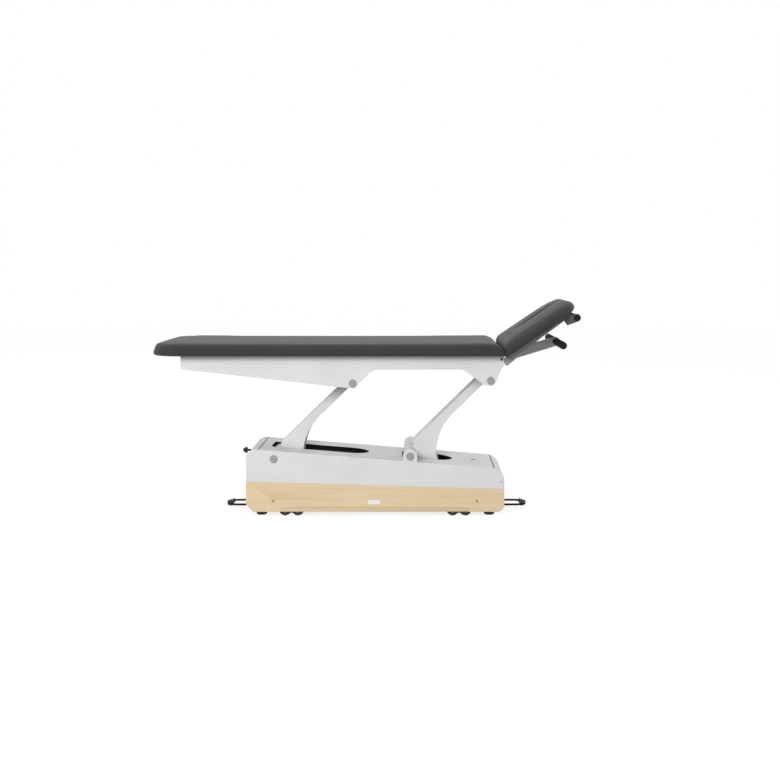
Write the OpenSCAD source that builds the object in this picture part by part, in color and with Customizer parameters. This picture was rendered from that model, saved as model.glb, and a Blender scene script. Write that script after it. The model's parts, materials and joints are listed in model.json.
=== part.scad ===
// Height-adjustable treatment table: a wooden base with a steel hood, two parallel lifting arms,
// a padded top and a tilting head section. X runs from the foot end to the head end, Y across,
// Z up from the floor. The table is drawn at its working height with the head section raised.

/* [Base] */
// Length of the base
base_l = 1214; // [1100:1:1400]
// Width of the base over its side plates
base_w = 390; // [370:1:440]
// Gap between the floor and the underside of the base
base_gap = 23; // [20:0.5:30]
// Thickness of the wooden boards
board_t = 22; // [16:1:26]
// Height of the wooden boards at the foot end
wood_h_foot = 142; // [130:1:160]
// Height of the wooden boards at the head end
wood_h_head = 107.5; // [90:0.5:120]
// Height of the base at the foot end, from the underside of the boards to the hood
case_h_foot = 296.5; // [290:0.5:304]
// Height of the base at the head end, from the underside of the boards to the hood
case_h_head = 200.4; // [192:0.1:206]
// Size of the cut and rounded lower corners of the side boards
corner_cut = 36; // [20:1:50]
// Height of the groove along the foot of the side boards
groove_h = 19; // [10:1:24]
// Depth of the groove along the foot of the side boards
groove_d = 3; // [1:0.5:6]
// Distance of the groove's ends from the ends of the base
groove_end = 168.5; // [120:0.5:250]
// Height of the end boards' underside above the side boards' underside
end_board_gap = 41; // [34:1:48]
// Width of the notch in the end boards that the pedals pass through
notch_w = 210; // [190:1:240]
// Height of the notch in the end boards
notch_h = 28; // [20:1:36]
// Distance of the bottom board's ends from the pedals' pivots
bottom_board_gap = 30; // [20:1:50]
// Thickness of the bottom board
bottom_board_t = 18; // [12:1:22]

/* [Hood] */
// Thickness of the side plates
plate_t = 6; // [4:0.5:8]
// Thickness of the top cover and the end caps
cover_t = 3; // [2:0.5:4]
// Radius of the shoulder at the foot end
foot_shoulder_r = 45; // [30:1:60]
// Radius of the shoulder at the head end
head_shoulder_r = 60; // [40:1:75]
// Length of the end cap at the foot end
foot_cap_l = 58; // [50:1:75]
// Length of the end cap at the head end
head_cap_l = 46; // [40:1:60]
// Width of the seams beside the top cover
seam_w = 4; // [2:0.5:5]
// Width of the slots that the arms pass through
slot_w = 160; // [150:1:180]
// Radius of the slots' corners next to the arms
slot_corner_r = 12; // [6:1:20]
// Start of the foot arm's slot, before the arm's lower pivot
foot_slot_back = 26; // [24:1:34]
// Distance of that slot's other end from the lowered arm's upper pivot
foot_slot_short = 81; // [60:1:90]
// Start of the head arm's slot, before the arm's lower pivot
head_slot_back = 40; // [36:1:44]
// Length of that slot
head_slot_l = 243; // [238:1:260]
// Radius of the ears that carry the pivot at the head end
ear_r = 34.5; // [28:0.5:38]

/* [Lift] */
// Distance between the two pivots of an arm
arm_l = 520; // [500:1:540]
// Angle of the arms above the horizontal
lift_angle = 44; // [40:1:50]
// Distance of the foot arm's lower pivot before the middle of the base
foot_pivot_x = 476; // [460:1:490]
// Height of the foot arm's lower pivot above the floor
foot_pivot_z = 272; // [266:0.5:276]
// Distance of the head arm's lower pivot behind the middle of the base
head_pivot_x = 165; // [155:1:175]
// Height of the head arm's lower pivot above the floor
head_pivot_z = 284; // [282:0.5:290]
// Radius of the pivot shafts
shaft_r = 12; // [10:0.5:14]
// Wall of the plain bushes around the shafts
bush_t = 4; // [3:0.5:5]
// Length of a bush
bush_l = 30; // [20:1:40]
// Radial gap between shafts and bushes
running_gap = 0.05; // [0.02:0.01:0.09]
// Wall of the arms' hub tubes
hub_t = 8; // [6:0.5:8.5]
// Width of an arm over its flanges
arm_w = 120; // [100:1:130]
// Thickness of the arms' sheet steel
arm_t = 5; // [4:0.5:6]
// Distance of an arm's back above the line through its pivots
arm_back = 28; // [27:0.5:32]
// Distance of an arm's front edge below that line, near its waist
arm_front = 10.5; // [9:0.5:14]
// Radius of the flare from the arm's waist to its foot
flare_r = 268; // [255:1:280]
// Distance of the waist from the lower pivot
waist_u = 276.5; // [270:0.5:284]
// Distance of the crank pin from the lower pivot
crank_r = 120; // [110:1:125]
// Angle of the crank below the arm
crank_angle = 70; // [66:1:74]
// Radius of the lobe around the crank pin
crank_lobe_r = 28; // [24:1:32]
// Radius of the crank pin
crank_pin_r = 8; // [6:0.5:10]
// Radius of the round caps on the pivots
cap_r = 18; // [15:0.5:22]
// Height of the round caps
cap_h = 7; // [3:0.5:9]
// Clearance between the hubs and the plates beside them
hub_gap = 1.5; // [1:0.1:3]
// Thickness of the washers in that clearance
washer_t = 1.2; // [0.6:0.1:1.4]

/* [Actuator] */
// Distance of the actuator's rear pin from the head arm's lower pivot
anchor_r = 240; // [235:1:245]
// Direction of the rear pin from that pivot
anchor_angle = 206; // [204:0.5:208]
// Radius of the rear pin
rear_pin_r = 6; // [5:0.5:7]
// Outer radius of the actuator's tube
tube_r = 18; // [17:0.5:18.5]
// Wall of the actuator's tube
tube_t = 3; // [2:0.5:3]
// Distance from the rear pin to the open end of the tube
tube_end = 235; // [225:1:240]
// Radius of the push rod
rod_r = 9; // [7:0.5:9]
// Length of the push rod from the crank pin
rod_l = 150; // [140:1:160]
// Radius of the motor
motor_r = 24; // [20:1:25]
// Length of the motor
motor_l = 118; // [100:1:125]
// Distance of the motor's axis below the tube's axis
motor_drop = 50; // [46:1:52]
// Width of the gearbox
gearbox_w = 56; // [50:1:58]
// Length of the gearbox in front of the rear pin
gearbox_l = 80; // [76:1:84]

/* [Top frame] */
// Distance of the frame's side plates from the sides of the cushions
frame_inset = 71; // [65:1:85]
// Thickness of the frame's side plates
frame_t = 5; // [4:0.5:6]
// Height of the frame's upper edge above the head arm's upper pivot
frame_rise = 116.8; // [115:0.1:120]
// Width of the flange along the frame's upper edge
flange_w = 40; // [30:1:50]
// Depth of the frame's side plates at the foot end
frame_end_d = 63; // [45:1:70]
// Depth of the frame's side plates between the arms
frame_mid_d = 65.5; // [60:0.5:72]
// Distance of the frame's foot end before the foot arm's upper pivot
frame_foot_l = 799; // [760:1:820]
// Radius of the frame around its pivots
frame_lobe_r = 25; // [24:0.5:28]
// Side of the square cross members
member_w = 40; // [30:1:50]
// Wall of the square cross members
member_t = 2.5; // [2:0.5:4]

/* [Cushions] */
// Width of the cushions
cushion_w = 650; // [600:1:700]
// Thickness of the cushions
cushion_t = 57; // [50:1:64]
// How far the main cushion stands out past the frame's foot end
foot_overhang = 145; // [130:1:170]
// How far its underside reaches past the hinge
hinge_overhang = 18; // [14:1:18]
// Radius of the corners at the foot end
foot_corner_r = 130; // [90:1:150]
// Radius of the corners at the head end
head_corner_r = 120; // [80:1:140]
// Radius of the corners where the two cushions meet
joint_corner_r = 18; // [12:1:30]
// Radius of the rolled upper edges
roll_r = 36; // [24:1:38]
// Radius of the upper edge at the foot end
foot_roll_r = 14; // [12:1:24]
// How far the end face leans back at the foot end
foot_lean = 15; // [8:1:18]
// Radius of the lower edges
lower_r = 17; // [8:0.5:18]
// Radius of the lower edges where the cushions meet
joint_lower_r = 3; // [2:0.5:5]
// Height of the main cushion's crown
crown_h = 2.5; // [1:0.5:8]
// Height of the head cushion's crown
head_crown_h = 9; // [2:0.5:12]
// How far the long sides are drawn in at their middle
draw_in = 3; // [0:0.5:6]
// How far the main cushion's end face leans back at the joint
joint_lean = 18; // [14:1:20]
// How far the head cushion's end face leans at the joint
head_lean = 14; // [12:1:18]
// Radius of the upper edges where the cushions meet
joint_roll_r = 28; // [20:1:34]
// Thickness of the plywood boards in the cushions
ply_t = 12; // [9:1:15]
// Distance from the cushions' edge to the plywood boards
ply_inset = 35; // [30:1:45]

/* [Head section] */
// Distance of the hinge past the head arm's upper pivot
hinge_beyond = 51; // [50:0.5:52]
// Depth of the hinge below the frame's upper edge
hinge_drop = 18; // [17:0.5:19]
// Angle of the head section above the horizontal
head_tilt = 34; // [30:1:34]
// Length of the head cushion
head_l = 405; // [390:1:420]
// Distance from the hinge to the head cushion
head_start = 25; // [25:0.5:30]
// Distance of the head cushion's underside below the hinge
head_drop = 5; // [4:0.5:6]
// Radius of the hinge pins
hinge_pin_r = 6; // [5:0.5:7]
// Depth of the tray's side plates
tray_d = 36; // [30:1:38]
// Length of the tray's side plates
tray_l = 345; // [335:1:350]
// Thickness of the tray's side plates
tray_t = 5; // [4:0.5:6]
// Thickness of the tray's cross plates
cross_t = 4; // [3:0.5:5]
// Length of the opening for the face
face_l = 229; // [200:1:240]
// Width of the opening for the face
face_w = 50; // [40:1:60]
// Distance of the opening's inner end from the hinge
face_start = 131; // [125:1:140]
// Distance of the end bar from the hinge
end_bar_a = 399; // [392:1:402]
// Distance of the end bar below the hinge
end_bar_b = 37; // [35:1:39]
// Radius of the end bar
end_bar_r = 15; // [13:0.5:16]
// How far the end bar stands out past its brackets
end_bar_over = 6.5; // [3:0.5:12]

/* [Release lever] */
// Distance of the lever's pivot from the hinge
lever_a = 50; // [48:1:52]
// Distance of the lever's pivot below the hinge
lever_b = 25; // [24:0.5:26]
// Angle between the lever and the head section
lever_angle = 17; // [15:0.5:18]
// Depth of the lever's channel
lever_d = 42; // [36:1:44]
// Distance from the pivot to the lever's cross tube
lever_l = 233; // [225:1:240]
// Half the width of the lever over its flanges
lever_half_w = 25; // [22:1:27]
// Thickness of the lever's sheet steel
lever_t = 4; // [3:0.5:4]
// Radius of the lever's cross tube
lever_tube_r = 12; // [10:0.5:13]
// Distance of the cross tube's ends from the sides of the cushions
lever_tube_inset = 30; // [20:1:45]
// Radius of the foam grips
grip_r = 17.5; // [15:0.5:18.5]

/* [Gas spring] */
// Distance of both ends of the gas spring from the hinge
spring_r = 110; // [106:1:112]
// Direction of the gas spring's lower end from the hinge
spring_anchor_angle = 210; // [209:0.5:211]
// Direction of the gas spring's upper end from the hinge, on the head section
spring_top_angle = -20; // [-21:0.5:-19]
// Distance of the gas spring from the middle of the table
spring_y = 90; // [80:1:110]
// Outer radius of the cylinder
spring_tube_r = 10; // [9:0.5:11]
// Length of the cylinder from its end
spring_tube_l = 150; // [145:1:152]
// Radius of the piston rod
spring_rod_r = 5; // [4:0.5:6]
// Length of the piston rod from its end
spring_rod_l = 110; // [104:1:114]

/* [Pedals, wheels and feet] */
// Radius of the wheels
wheel_r = 29; // [26:0.5:31]
// Width of a wheel
wheel_w = 22; // [16:1:24]
// Distance of the pedals' pivots from the ends of the base
pedal_back = 297; // [290:1:305]
// Height of the pedals' pivots above the floor
pedal_z = 40; // [38:0.5:42]
// Distance of the inner wheels from the pedals' pivots
wheel_beyond = 55; // [52:1:58]
// Distance between the two wheels on each side
wheel_pitch = 60; // [60:1:64]
// How far the pedals stand out past the ends of the base
pedal_over = 118; // [105:1:130]
// Width of the pedal loops, between the middles of the bars
loop_w = 104; // [102:1:130]
// Height of the pedal loops above the floor
loop_z = 27; // [26:0.5:30]
// Radius of the pedal loops' bar
loop_r = 5; // [4:0.5:6]
// Radius of the levelling feet
foot_r = 25; // [20:1:30]
// Height of the levelling feet's pads
foot_h = 20; // [14:1:22]
// Distance of the levelling feet from the ends of the base
foot_back = 68; // [60:1:80]
// Distance of the levelling feet from the middle of the table's width
foot_y = 135; // [128:1:140]

/* [Hidden] */

$fn = 64;
// Overrun of every cut past the face it leaves
over = 1;
// Number of straight steps in a rounded corner of an outline
corner_steps = 8;
// And in a longer arc
arc_steps = 20;

// The point at distance d from p in direction a
function along(p, a, d) = [p[0] + d * cos(a), p[1] + d * sin(a)];
function unit(v) = v / norm(v);
// Points on a circle around c from direction a to direction b
function arc(c, r, a, b) =
    [for (i = [0:arc_steps]) along(c, a + (b - a) * i / arc_steps, r)];
function flat(p) = [p[0], p[1]];
// An outline's corner c = [x, y, radius] between the points p and n, as the points of its arc
function corner(p, c, n) =
    c[2] == 0 ? [flat(c)] :
    let(
        a = unit(flat(p) - flat(c)),
        b = unit(flat(n) - flat(c)),
        half = acos(a * b) / 2,
        centre = flat(c) + unit(a + b) * c[2] / sin(half),
        from = flat(c) + a * c[2] / tan(half) - centre,
        to = flat(c) + b * c[2] / tan(half) - centre,
        start = atan2(from[1], from[0]),
        turn = atan2(from[0] * to[1] - from[1] * to[0], from * to)
    )
    [for (i = [0:corner_steps]) along(centre, start + turn * i / corner_steps, c[2])];
// An outline with every corner rounded by its own radius
function rounded(ps) =
    [for (i = [0:len(ps) - 1])
        each corner(ps[(i + len(ps) - 1) % len(ps)], ps[i], ps[(i + 1) % len(ps)])];

full_turn = 360;

half_base_l = base_l / 2;
half_base_w = base_w / 2;
groove_l = base_l - 2 * groove_end;
foot_x = half_base_l - foot_back;
pedal_x = half_base_l - pedal_back;
wheel_x = pedal_x + wheel_beyond;
pedal_reach = half_base_l + pedal_over;
bottom_board_l = 2 * (pedal_x - bottom_board_gap);
board_in_y = half_base_w - board_t;
plate_in_y = half_base_w - plate_t;
wood_top_foot = base_gap + wood_h_foot;
wood_top_head = base_gap + wood_h_head;
case_top_foot = base_gap + case_h_foot;
case_top_head = base_gap + case_h_head;
hood_slope = atan((case_h_foot - case_h_head) / base_l);
function case_top(x) = case_top_foot - (x + half_base_l) * tan(hood_slope);

foot_pivot = [-foot_pivot_x, foot_pivot_z];
head_pivot = [head_pivot_x, head_pivot_z];
bush_r = shaft_r + bush_t;
hub_r = bush_r + hub_t;
lower_hub_half = plate_in_y - hub_gap;
frame_w = cushion_w - 2 * frame_inset;
frame_in_y = frame_w / 2 - frame_t;
upper_hub_half = frame_in_y - hub_gap;
half_arm_w = arm_w / 2;
foot_top = along(foot_pivot, lift_angle, arm_l);
head_top = along(head_pivot, lift_angle, arm_l);
foot_slot_l = foot_slot_back + arm_l - foot_slot_short;
frame_top_z = head_top[1] + frame_rise;
frame_foot_x = frame_foot_l - foot_top[0];
hinge_x = head_top[0] + hinge_beyond;
hinge_z = frame_top_z - hinge_drop;
cushion_foot_x = frame_foot_x + foot_overhang;
cushion_head_x = hinge_x + hinge_overhang;
// Outline of the arms: where the back starts, where the web ends, and the narrow tip
neck_angle = 20;
neck_u = 60;
web_start = 168;
web_end = 40;
tip_angle = 238;
tip_back = 50;
tip_front = 10;
flare_end_angle = 137;
lobe_start_angle = -30;

crank = along(head_pivot, lift_angle - crank_angle, crank_r);
anchor = along(head_pivot, anchor_angle, anchor_r);
actuator_angle = atan2(crank[1] - anchor[1], crank[0] - anchor[0]);
rod_eye_r = 2 * crank_pin_r;
rod_eye_half = 15;
pin_head_t = 2.5;
pin_head_r = crank_pin_r + pin_head_t;
gear_eye_r = 16;
gear_neck_l = 25;
gear_wall = 6;
gear_corner_r = 8;
motor_lid_t = 8;
motor_lid_r = motor_r - gear_wall / 2;
tube_floor = 15;

// Steel chassis inside the base
rail_w = 30;
rail_t = 2.5;
rail_y = 105;
rail_z = 64;
end_member_l = 36;
mid_member_l = 60;
bracket_gap = 2;
bracket_t = 6;
bracket_foot_l = 90;
bracket_y = gearbox_w / 2 + bracket_gap;

control_l = 170;
control_w = 160;
control_h = 60;
control_x = -270;
control_lid = 4;
gland_y = 110;
gland_z = 120;
gland_r = 9;
gland_nut_r = 15;
gland_nut_h = 8;
gland_dome_l = 8;
gland_bore_r = 3.5;
knob_inset = 35;
knob_drop = 11;
knob_stem_r = 5;
knob_stem_l = 15;
knob_disc_r = 14.5;
knob_disc_h = 6;
knob_dome_h = 14;
knob_dome_r = 7;
knob_round = 2.5;
inlay_l = 58;
inlay_h = 19;
inlay_x = -6;
inlay_rise = 37;
inlay_t = 3;
inlay_recess = 1;
plug_back = 129;
plug_x = half_base_l - plug_back;
plug_rise = 51;
plug_r = 6;
plug_l = 6;
plug_proud = 0.5;
screw_inset = 16;
screw_rise = 34;
screw_r = 3;
switch_back = 136;
switch_x = half_base_l - switch_back;
switch_r = 8;
switch_head_r = 12;
switch_head_h = 2.5;
switch_l = 22;
switch_slot_w = 3;
switch_slot_l = 16;
switch_slot_d = 1.2;
switch_gap = 0.2;

stem_r = 5;
stem_top = rail_z + rail_w / 2;
foot_round = 7;

// Outline of the frame's side plates beyond the pivots
frame_corner_r = 12;
rise_angle = -20;
rise_l = 93;
rise_r = 70;
fall_l = 125;
fall_r = 55;
chin_l = 32;
chin_h = 20;
chin_r = 25;
chin_angle = 250;
heel_angle = -18;
heel_l = 49;
heel_h = 52;
heel_rise = 71;
frame_head_l = 63;
flange_end = 30;
// Places of the cross members before the gas spring's, as shares of the frame's length
member_shares = [0.05, 0.33, 0.64];
gas_member_back = 15;

gas_anchor = along([hinge_x, hinge_z], spring_anchor_angle, spring_r);
gas_top = along([0, 0], spring_top_angle, spring_r);
gas_top_world = along([hinge_x, hinge_z], spring_top_angle + head_tilt, spring_r);
gas_angle = atan2(gas_top_world[1] - gas_anchor[1], gas_top_world[0] - gas_anchor[0]);
gas_eye_r = 2 * spring_rod_r;
gas_lug_r = gas_eye_r + 2;
gas_lug_gap = 1;
gas_lug_t = 4;
gas_wall = 2;
gas_floor = 30;
gas_slide_gap = 0.1;
piston_l = 10;

half_cushion = cushion_w / 2;
ply_half = half_cushion - ply_inset;
ply_gap = 0.3;
ply_joint_gap = 14;
board_corner_r = 12;

// Head section, in its own directions: a along it, b square to it, from the hinge
tray_gap = 0.5;
tray_out_y = frame_in_y - tray_gap;
tray_in_y = tray_out_y - tray_t;
tray_low = head_drop + tray_d;
tray_lug_r = 17;
tray_foot_r = 8;
tray_taper_a = 207;
tray_waist_d = 15;
tray_tip_d = 10;
cross_starts = [22, 300];
cross_lengths = [118, 30];
lever_lug_r = 9;
lever_lug_t = 4;
lever_lug_gap = 2;
lever_pin_r = 5;
lever_rise = 12;
lever_tube_drop = 9;
lever_clamp_r = 20;
lever_round = 14;
lever_tube_l = cushion_w - 2 * lever_tube_inset;
grip_start = 28;
grip_end_t = 6;
end_bar_l = 2 * (tray_in_y + end_bar_over);
bracket_back = 4;
bracket_l = 35;
bracket_ring_t = 3;
end_bracket_t = 5;

pedal_shaft_r = 12;
bearing_w = 20;
bearing_y = 100;
bearing_r = 18;
wheel_gap = 3;
wheel_round = 4;
carrier_gap = 6;
carrier_t = 6;
carrier_lobe_r = 22;
carrier_hub_r = 20;
axle_r = 6;
axle_z = wheel_r;
loop_bar_l = 165;
loop_bar_r = 10;
loop_corner_r = 50;
pad_l = 30;
pad_half_t = 7;
nub_r = 4;
nub_margin = 12;
wheel_out_y = board_in_y - wheel_gap;
wheel_in_y = wheel_out_y - wheel_w;
carrier_out_y = wheel_in_y - carrier_gap;

// The table's length is centred on the origin: the cushion's foot end and the end bar are its ends
head_reach = hinge_x + end_bar_a * cos(head_tilt) + end_bar_b * sin(head_tilt) + end_bar_r
    + bracket_ring_t;
base_shift = (cushion_foot_x - head_reach) / 2;

white = [0.93, 0.93, 0.93];
birch = [0.87, 0.77, 0.63];
dark = [0.1, 0.1, 0.1];
steel = [0.72, 0.73, 0.74];
grey = [0.42, 0.42, 0.42];
upholstery = [0.32, 0.32, 0.33];

// Everything below is drawn from the middle of the base, and placed along X by this
module placed() {
    translate([base_shift, 0, 0]) children();
}

// Extrudes an outline drawn in X and Z from y0 to y1
module slab(y0, y1) {
    translate([0, y1, 0]) rotate([90, 0, 0]) linear_extrude(y1 - y0) children();
}

// A slab on both sides of the middle
module slab_pair(y0, y1) {
    slab(y0, y1) children();
    slab(-y1, -y0) children();
}

// A rod across the table at [x, z]
module cross_rod(p, r, y0, y1) {
    translate([p[0], y1, p[1]]) rotate([90, 0, 0]) cylinder(r = r, h = y1 - y0);
}

module cross_rod_pair(p, r, y0, y1) {
    cross_rod(p, r, y0, y1);
    cross_rod(p, r, -y1, -y0);
}

// Rings around [x, z] on both sides of the middle
module ring_pair(p, r, bore, y0, y1) {
    difference() {
        cross_rod_pair(p, r, y0, y1);
        cross_rod(p, bore, -y1 - over, y1 + over);
    }
}

// A rectangular tube along X or Y, open at both ends
module tube_x(size, wall) {
    difference() {
        cube(size, center = true);
        cube([size[0] + over, size[1] - 2 * wall, size[2] - 2 * wall], center = true);
    }
}

module tube_y(size, wall) {
    difference() {
        cube(size, center = true);
        cube([size[0] - 2 * wall, size[1] + over, size[2] - 2 * wall], center = true);
    }
}

// Turns a body about a cross axis at p: its X then points at angle a above the horizontal
module swung(p, a) {
    translate([p[0], 0, p[1]]) rotate([0, -a, 0]) children();
}

// A round cap that lies flat on z = 0
module round_cap(r, h) {
    rotate_extrude() polygon(rounded([[0, 0, 0], [r, 0, 0], [r, h, h / 2], [0, h, 0]]));
}

module caps(points, y) {
    for (p = points) {
        translate([p[0], -y, p[1]]) rotate([90, 0, 0]) round_cap(cap_r, cap_h);
        translate([p[0], y, p[1]]) rotate([-90, 0, 0]) round_cap(cap_r, cap_h);
    }
}

// Washers with the same play on both their sides
module washers(points, hub_half) {
    play = (hub_gap - washer_t) / 2;
    for (p = points)
        ring_pair(p, hub_r - hub_gap, shaft_r + running_gap, hub_half + play,
            hub_half + play + washer_t);
}

// Side board: the foot end's lower corner is cut, the head end's is round
module side_board_outline() {
    polygon([
        [-half_base_l, base_gap + corner_cut], [-half_base_l + corner_cut, base_gap],
        [half_base_l - corner_cut, base_gap], [half_base_l, base_gap + corner_cut],
        [half_base_l, wood_top_head], [-half_base_l, wood_top_foot],
    ]);
    translate([half_base_l - corner_cut, base_gap + corner_cut]) circle(r = corner_cut);
}

module side_board() {
    difference() {
        slab(-half_base_w, -board_in_y) side_board_outline();
        translate([-groove_l / 2, -half_base_w - over, base_gap - over])
            cube([groove_l, groove_d + over, groove_h + over]);
        for (x = [-plug_x, plug_x])
            cross_rod([x, base_gap + plug_rise], plug_r, -half_base_w - over,
                -half_base_w + plug_l);
    }
}

module wood_side_near() {
    color(birch) placed() difference() {
        side_board();
        translate([inlay_x - inlay_l / 2, -half_base_w - over, base_gap + inlay_rise])
            cube([inlay_l, inlay_t + inlay_recess + over, inlay_h]);
    }
}

module wood_side_far() {
    color(birch) placed() mirror([0, 1, 0]) side_board();
}

module side_inlay() {
    color(white) placed()
        translate([inlay_x - inlay_l / 2, -half_base_w + inlay_recess, base_gap + inlay_rise])
            cube([inlay_l, inlay_t, inlay_h]);
}

// End board between the side boards, from x0 to x1, with the notch for the pedal
module end_board(x0, x1) {
    difference() {
        slab(-board_in_y, board_in_y) intersection() {
            side_board_outline();
            translate([x0, base_gap + end_board_gap]) square([x1 - x0, case_h_foot]);
        }
        translate([x0 - over, -notch_w / 2, base_gap + end_board_gap - over])
            cube([x1 - x0 + 2 * over, notch_w, notch_h + over]);
    }
}

module wood_end_foot() {
    color(birch) placed() difference() {
        end_board(-half_base_l, -half_base_l + board_t);
        translate([-half_base_l - over, gland_y, gland_z]) rotate([0, 90, 0])
            cylinder(r = gland_r, h = board_t + 2 * over);
    }
}

module wood_end_head() {
    color(birch) placed() end_board(half_base_l - board_t, half_base_l);
}

module bottom_board() {
    color(birch) placed()
        translate([-bottom_board_l / 2, -board_in_y, base_gap])
            cube([bottom_board_l, 2 * board_in_y, bottom_board_t]);
}

// Plates that hold the actuator's rear pin
module actuator_bracket() {
    top = rail_z + rail_w;
    slab_pair(bracket_y, bracket_y + bracket_t) difference() {
        union() {
            polygon([
                [anchor[0] - bracket_foot_l / 2, top], [anchor[0] + bracket_foot_l / 2, top],
                [anchor[0] + gear_eye_r, anchor[1]], [anchor[0] - gear_eye_r, anchor[1]],
            ]);
            translate([anchor[0] - mid_member_l / 2, top - rail_t]) square([mid_member_l, rail_t]);
            translate(anchor) circle(r = gear_eye_r);
        }
        translate(anchor) circle(r = rear_pin_r);
    }
}

// Welded frame of rectangular tube under the hood: it carries the feet, pedals and actuator
module base_chassis() {
    mid_z = rail_z + rail_w / 2;
    color(dark) placed() difference() {
        union() {
            for (y = [-1, 1])
                translate([0, y * (rail_y + rail_w / 2), mid_z])
                    tube_x([2 * foot_x - end_member_l, rail_w, rail_w], rail_t);
            for (x = [-foot_x, foot_x])
                translate([x, 0, mid_z])
                    tube_y([end_member_l, 2 * board_in_y, rail_w], rail_t);
            for (x = [-pedal_x, pedal_x])
                translate([x, 0, mid_z]) tube_y([rail_w, 2 * rail_y, rail_w], rail_t);
            translate([anchor[0], 0, mid_z])
                tube_y([mid_member_l, 2 * rail_y, rail_w], rail_t);
            actuator_bracket();
        }
        for (x = [-foot_x, foot_x], y = [-foot_y, foot_y])
            translate([x, y, rail_z - over]) cylinder(r = stem_r, h = rail_w / 2);
    }
}

// Outline of the hood's outer faces, or of its hollow for an inset of one sheet
function hood_outline(inset) = rounded([
    [-half_base_l + inset, wood_top_foot - (inset > 0 ? over : 0), 0],
    [half_base_l - inset, wood_top_head - (inset > 0 ? over : 0), 0],
    [half_base_l - inset, case_top_head - inset, head_shoulder_r - inset],
    [-half_base_l + inset, case_top_foot - inset, foot_shoulder_r - inset],
]);

module side_plate() {
    slab(-half_base_w, -plate_in_y) difference() {
        union() {
            polygon(hood_outline(0));
            translate(head_pivot) circle(r = ear_r);
            translate([head_pivot[0] - ear_r, wood_top_foot])
                square([2 * ear_r, head_pivot[1] - wood_top_foot]);
        }
        translate(foot_pivot) circle(r = shaft_r);
        translate(head_pivot) circle(r = shaft_r);
        translate([half_base_l - screw_inset, wood_top_head + screw_rise]) circle(r = screw_r);
    }
}

module side_plate_near() {
    color(white) placed() side_plate();
}

module side_plate_far() {
    color(white) placed() mirror([0, 1, 0]) side_plate();
}

// Part of the hood's bent sheet between x0 and x1
module hood_sheet(x0, x1) {
    slab(-plate_in_y, plate_in_y) intersection() {
        difference() {
            polygon(hood_outline(0));
            polygon(hood_outline(cover_t));
        }
        translate([x0, wood_top_head]) square([x1 - x0, case_h_foot]);
    }
}

// Slot in the cover: small corners beside the arm, a full round at the other end
module slot(x0, l) {
    r = slot_w / 2;
    translate([0, 0, wood_top_foot]) linear_extrude(case_h_foot) {
        polygon(rounded([
            [x0, -r, slot_corner_r], [x0 + l - r, -r, 0],
            [x0 + l - r, r, 0], [x0, r, slot_corner_r],
        ]));
        translate([x0 + l - r, 0]) circle(r = r);
    }
}

module at_switch() {
    translate([switch_x, 0, case_top(switch_x)]) rotate([0, hood_slope, 0]) children();
}

module top_cover() {
    color(white) placed() difference() {
        hood_sheet(-half_base_l + foot_cap_l + seam_w / 2, half_base_l - head_cap_l - seam_w / 2);
        slot(foot_pivot[0] - foot_slot_back, foot_slot_l);
        slot(head_pivot[0] - head_slot_back, head_slot_l);
        at_switch() translate([0, 0, -switch_l])
            cylinder(r = switch_r + running_gap, h = 2 * switch_l);
    }
}

module at_knob() {
    rise = case_top_foot - knob_drop;
    centre = [-half_base_l + foot_shoulder_r, case_top_foot - foot_shoulder_r];
    lift = rise - centre[1];
    surface = centre[0] - sqrt(pow(foot_shoulder_r, 2) - pow(lift, 2));
    translate([surface + cover_t, -half_base_w + knob_inset, rise]) rotate([0, -90, 0]) children();
}

module end_cap_foot() {
    color(white) placed() difference() {
        hood_sheet(-half_base_l, -half_base_l + foot_cap_l - seam_w / 2);
        at_knob() translate([0, 0, -knob_stem_l]) cylinder(r = knob_stem_r, h = 2 * knob_stem_l);
    }
}

module end_cap_head() {
    color(white) placed() hood_sheet(half_base_l - head_cap_l + seam_w / 2, half_base_l);
}

module lower_pivot_shafts() {
    color(steel) placed() for (p = [foot_pivot, head_pivot])
        cross_rod(p, shaft_r, -half_base_w, half_base_w);
}

module lower_pivot_caps() {
    color(steel) placed() caps([foot_pivot, head_pivot], half_base_w);
}

module lower_pivot_washers() {
    color(dark) placed() washers([foot_pivot, head_pivot], lower_hub_half);
}

module actuator_rear_pin() {
    color(steel) placed()
        cross_rod(anchor, rear_pin_r, -bracket_y - bracket_t, bracket_y + bracket_t);
}

// Mains transformer and control electronics, in a box with a lid
module control_box() {
    floor_z = base_gap + bottom_board_t;
    color(grey) placed() translate([control_x, -control_w / 2, floor_z]) {
        translate([control_lid, control_lid, 0])
            cube([control_l - 2 * control_lid, control_w - 2 * control_lid, control_h]);
        translate([0, 0, control_h - 3 * control_lid])
            cube([control_l, control_w, 2 * control_lid]);
    }
}

// Gland that the mains lead would enter by
module cord_gland() {
    color(dark) placed() translate([-half_base_l, gland_y, gland_z]) rotate([0, -90, 0])
        difference() {
            union() {
                cylinder(r = gland_nut_r, h = gland_nut_h, $fn = 6);
                cylinder(r = gland_r, h = gland_nut_h + gland_dome_l);
                translate([0, 0, -board_t]) cylinder(r = gland_r, h = board_t);
            }
            translate([0, 0, -board_t - over])
                cylinder(r = gland_bore_r, h = board_t + gland_nut_h + gland_dome_l + 2 * over);
        }
}

// Rubber knob on the foot end's shoulder, for hanging up the hand control
module hanging_knob() {
    disc = knob_stem_l;
    tip = knob_stem_l + knob_disc_h + knob_dome_h;
    color(dark) placed() at_knob() rotate_extrude() polygon(rounded([
        [0, 0, 0], [knob_stem_r, 0, 0], [knob_stem_r, disc, 0],
        [knob_disc_r, disc, knob_round], [knob_disc_r, disc + knob_disc_h, knob_round],
        [knob_dome_r, tip, knob_round], [0, tip, 0],
    ]));
}

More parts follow.
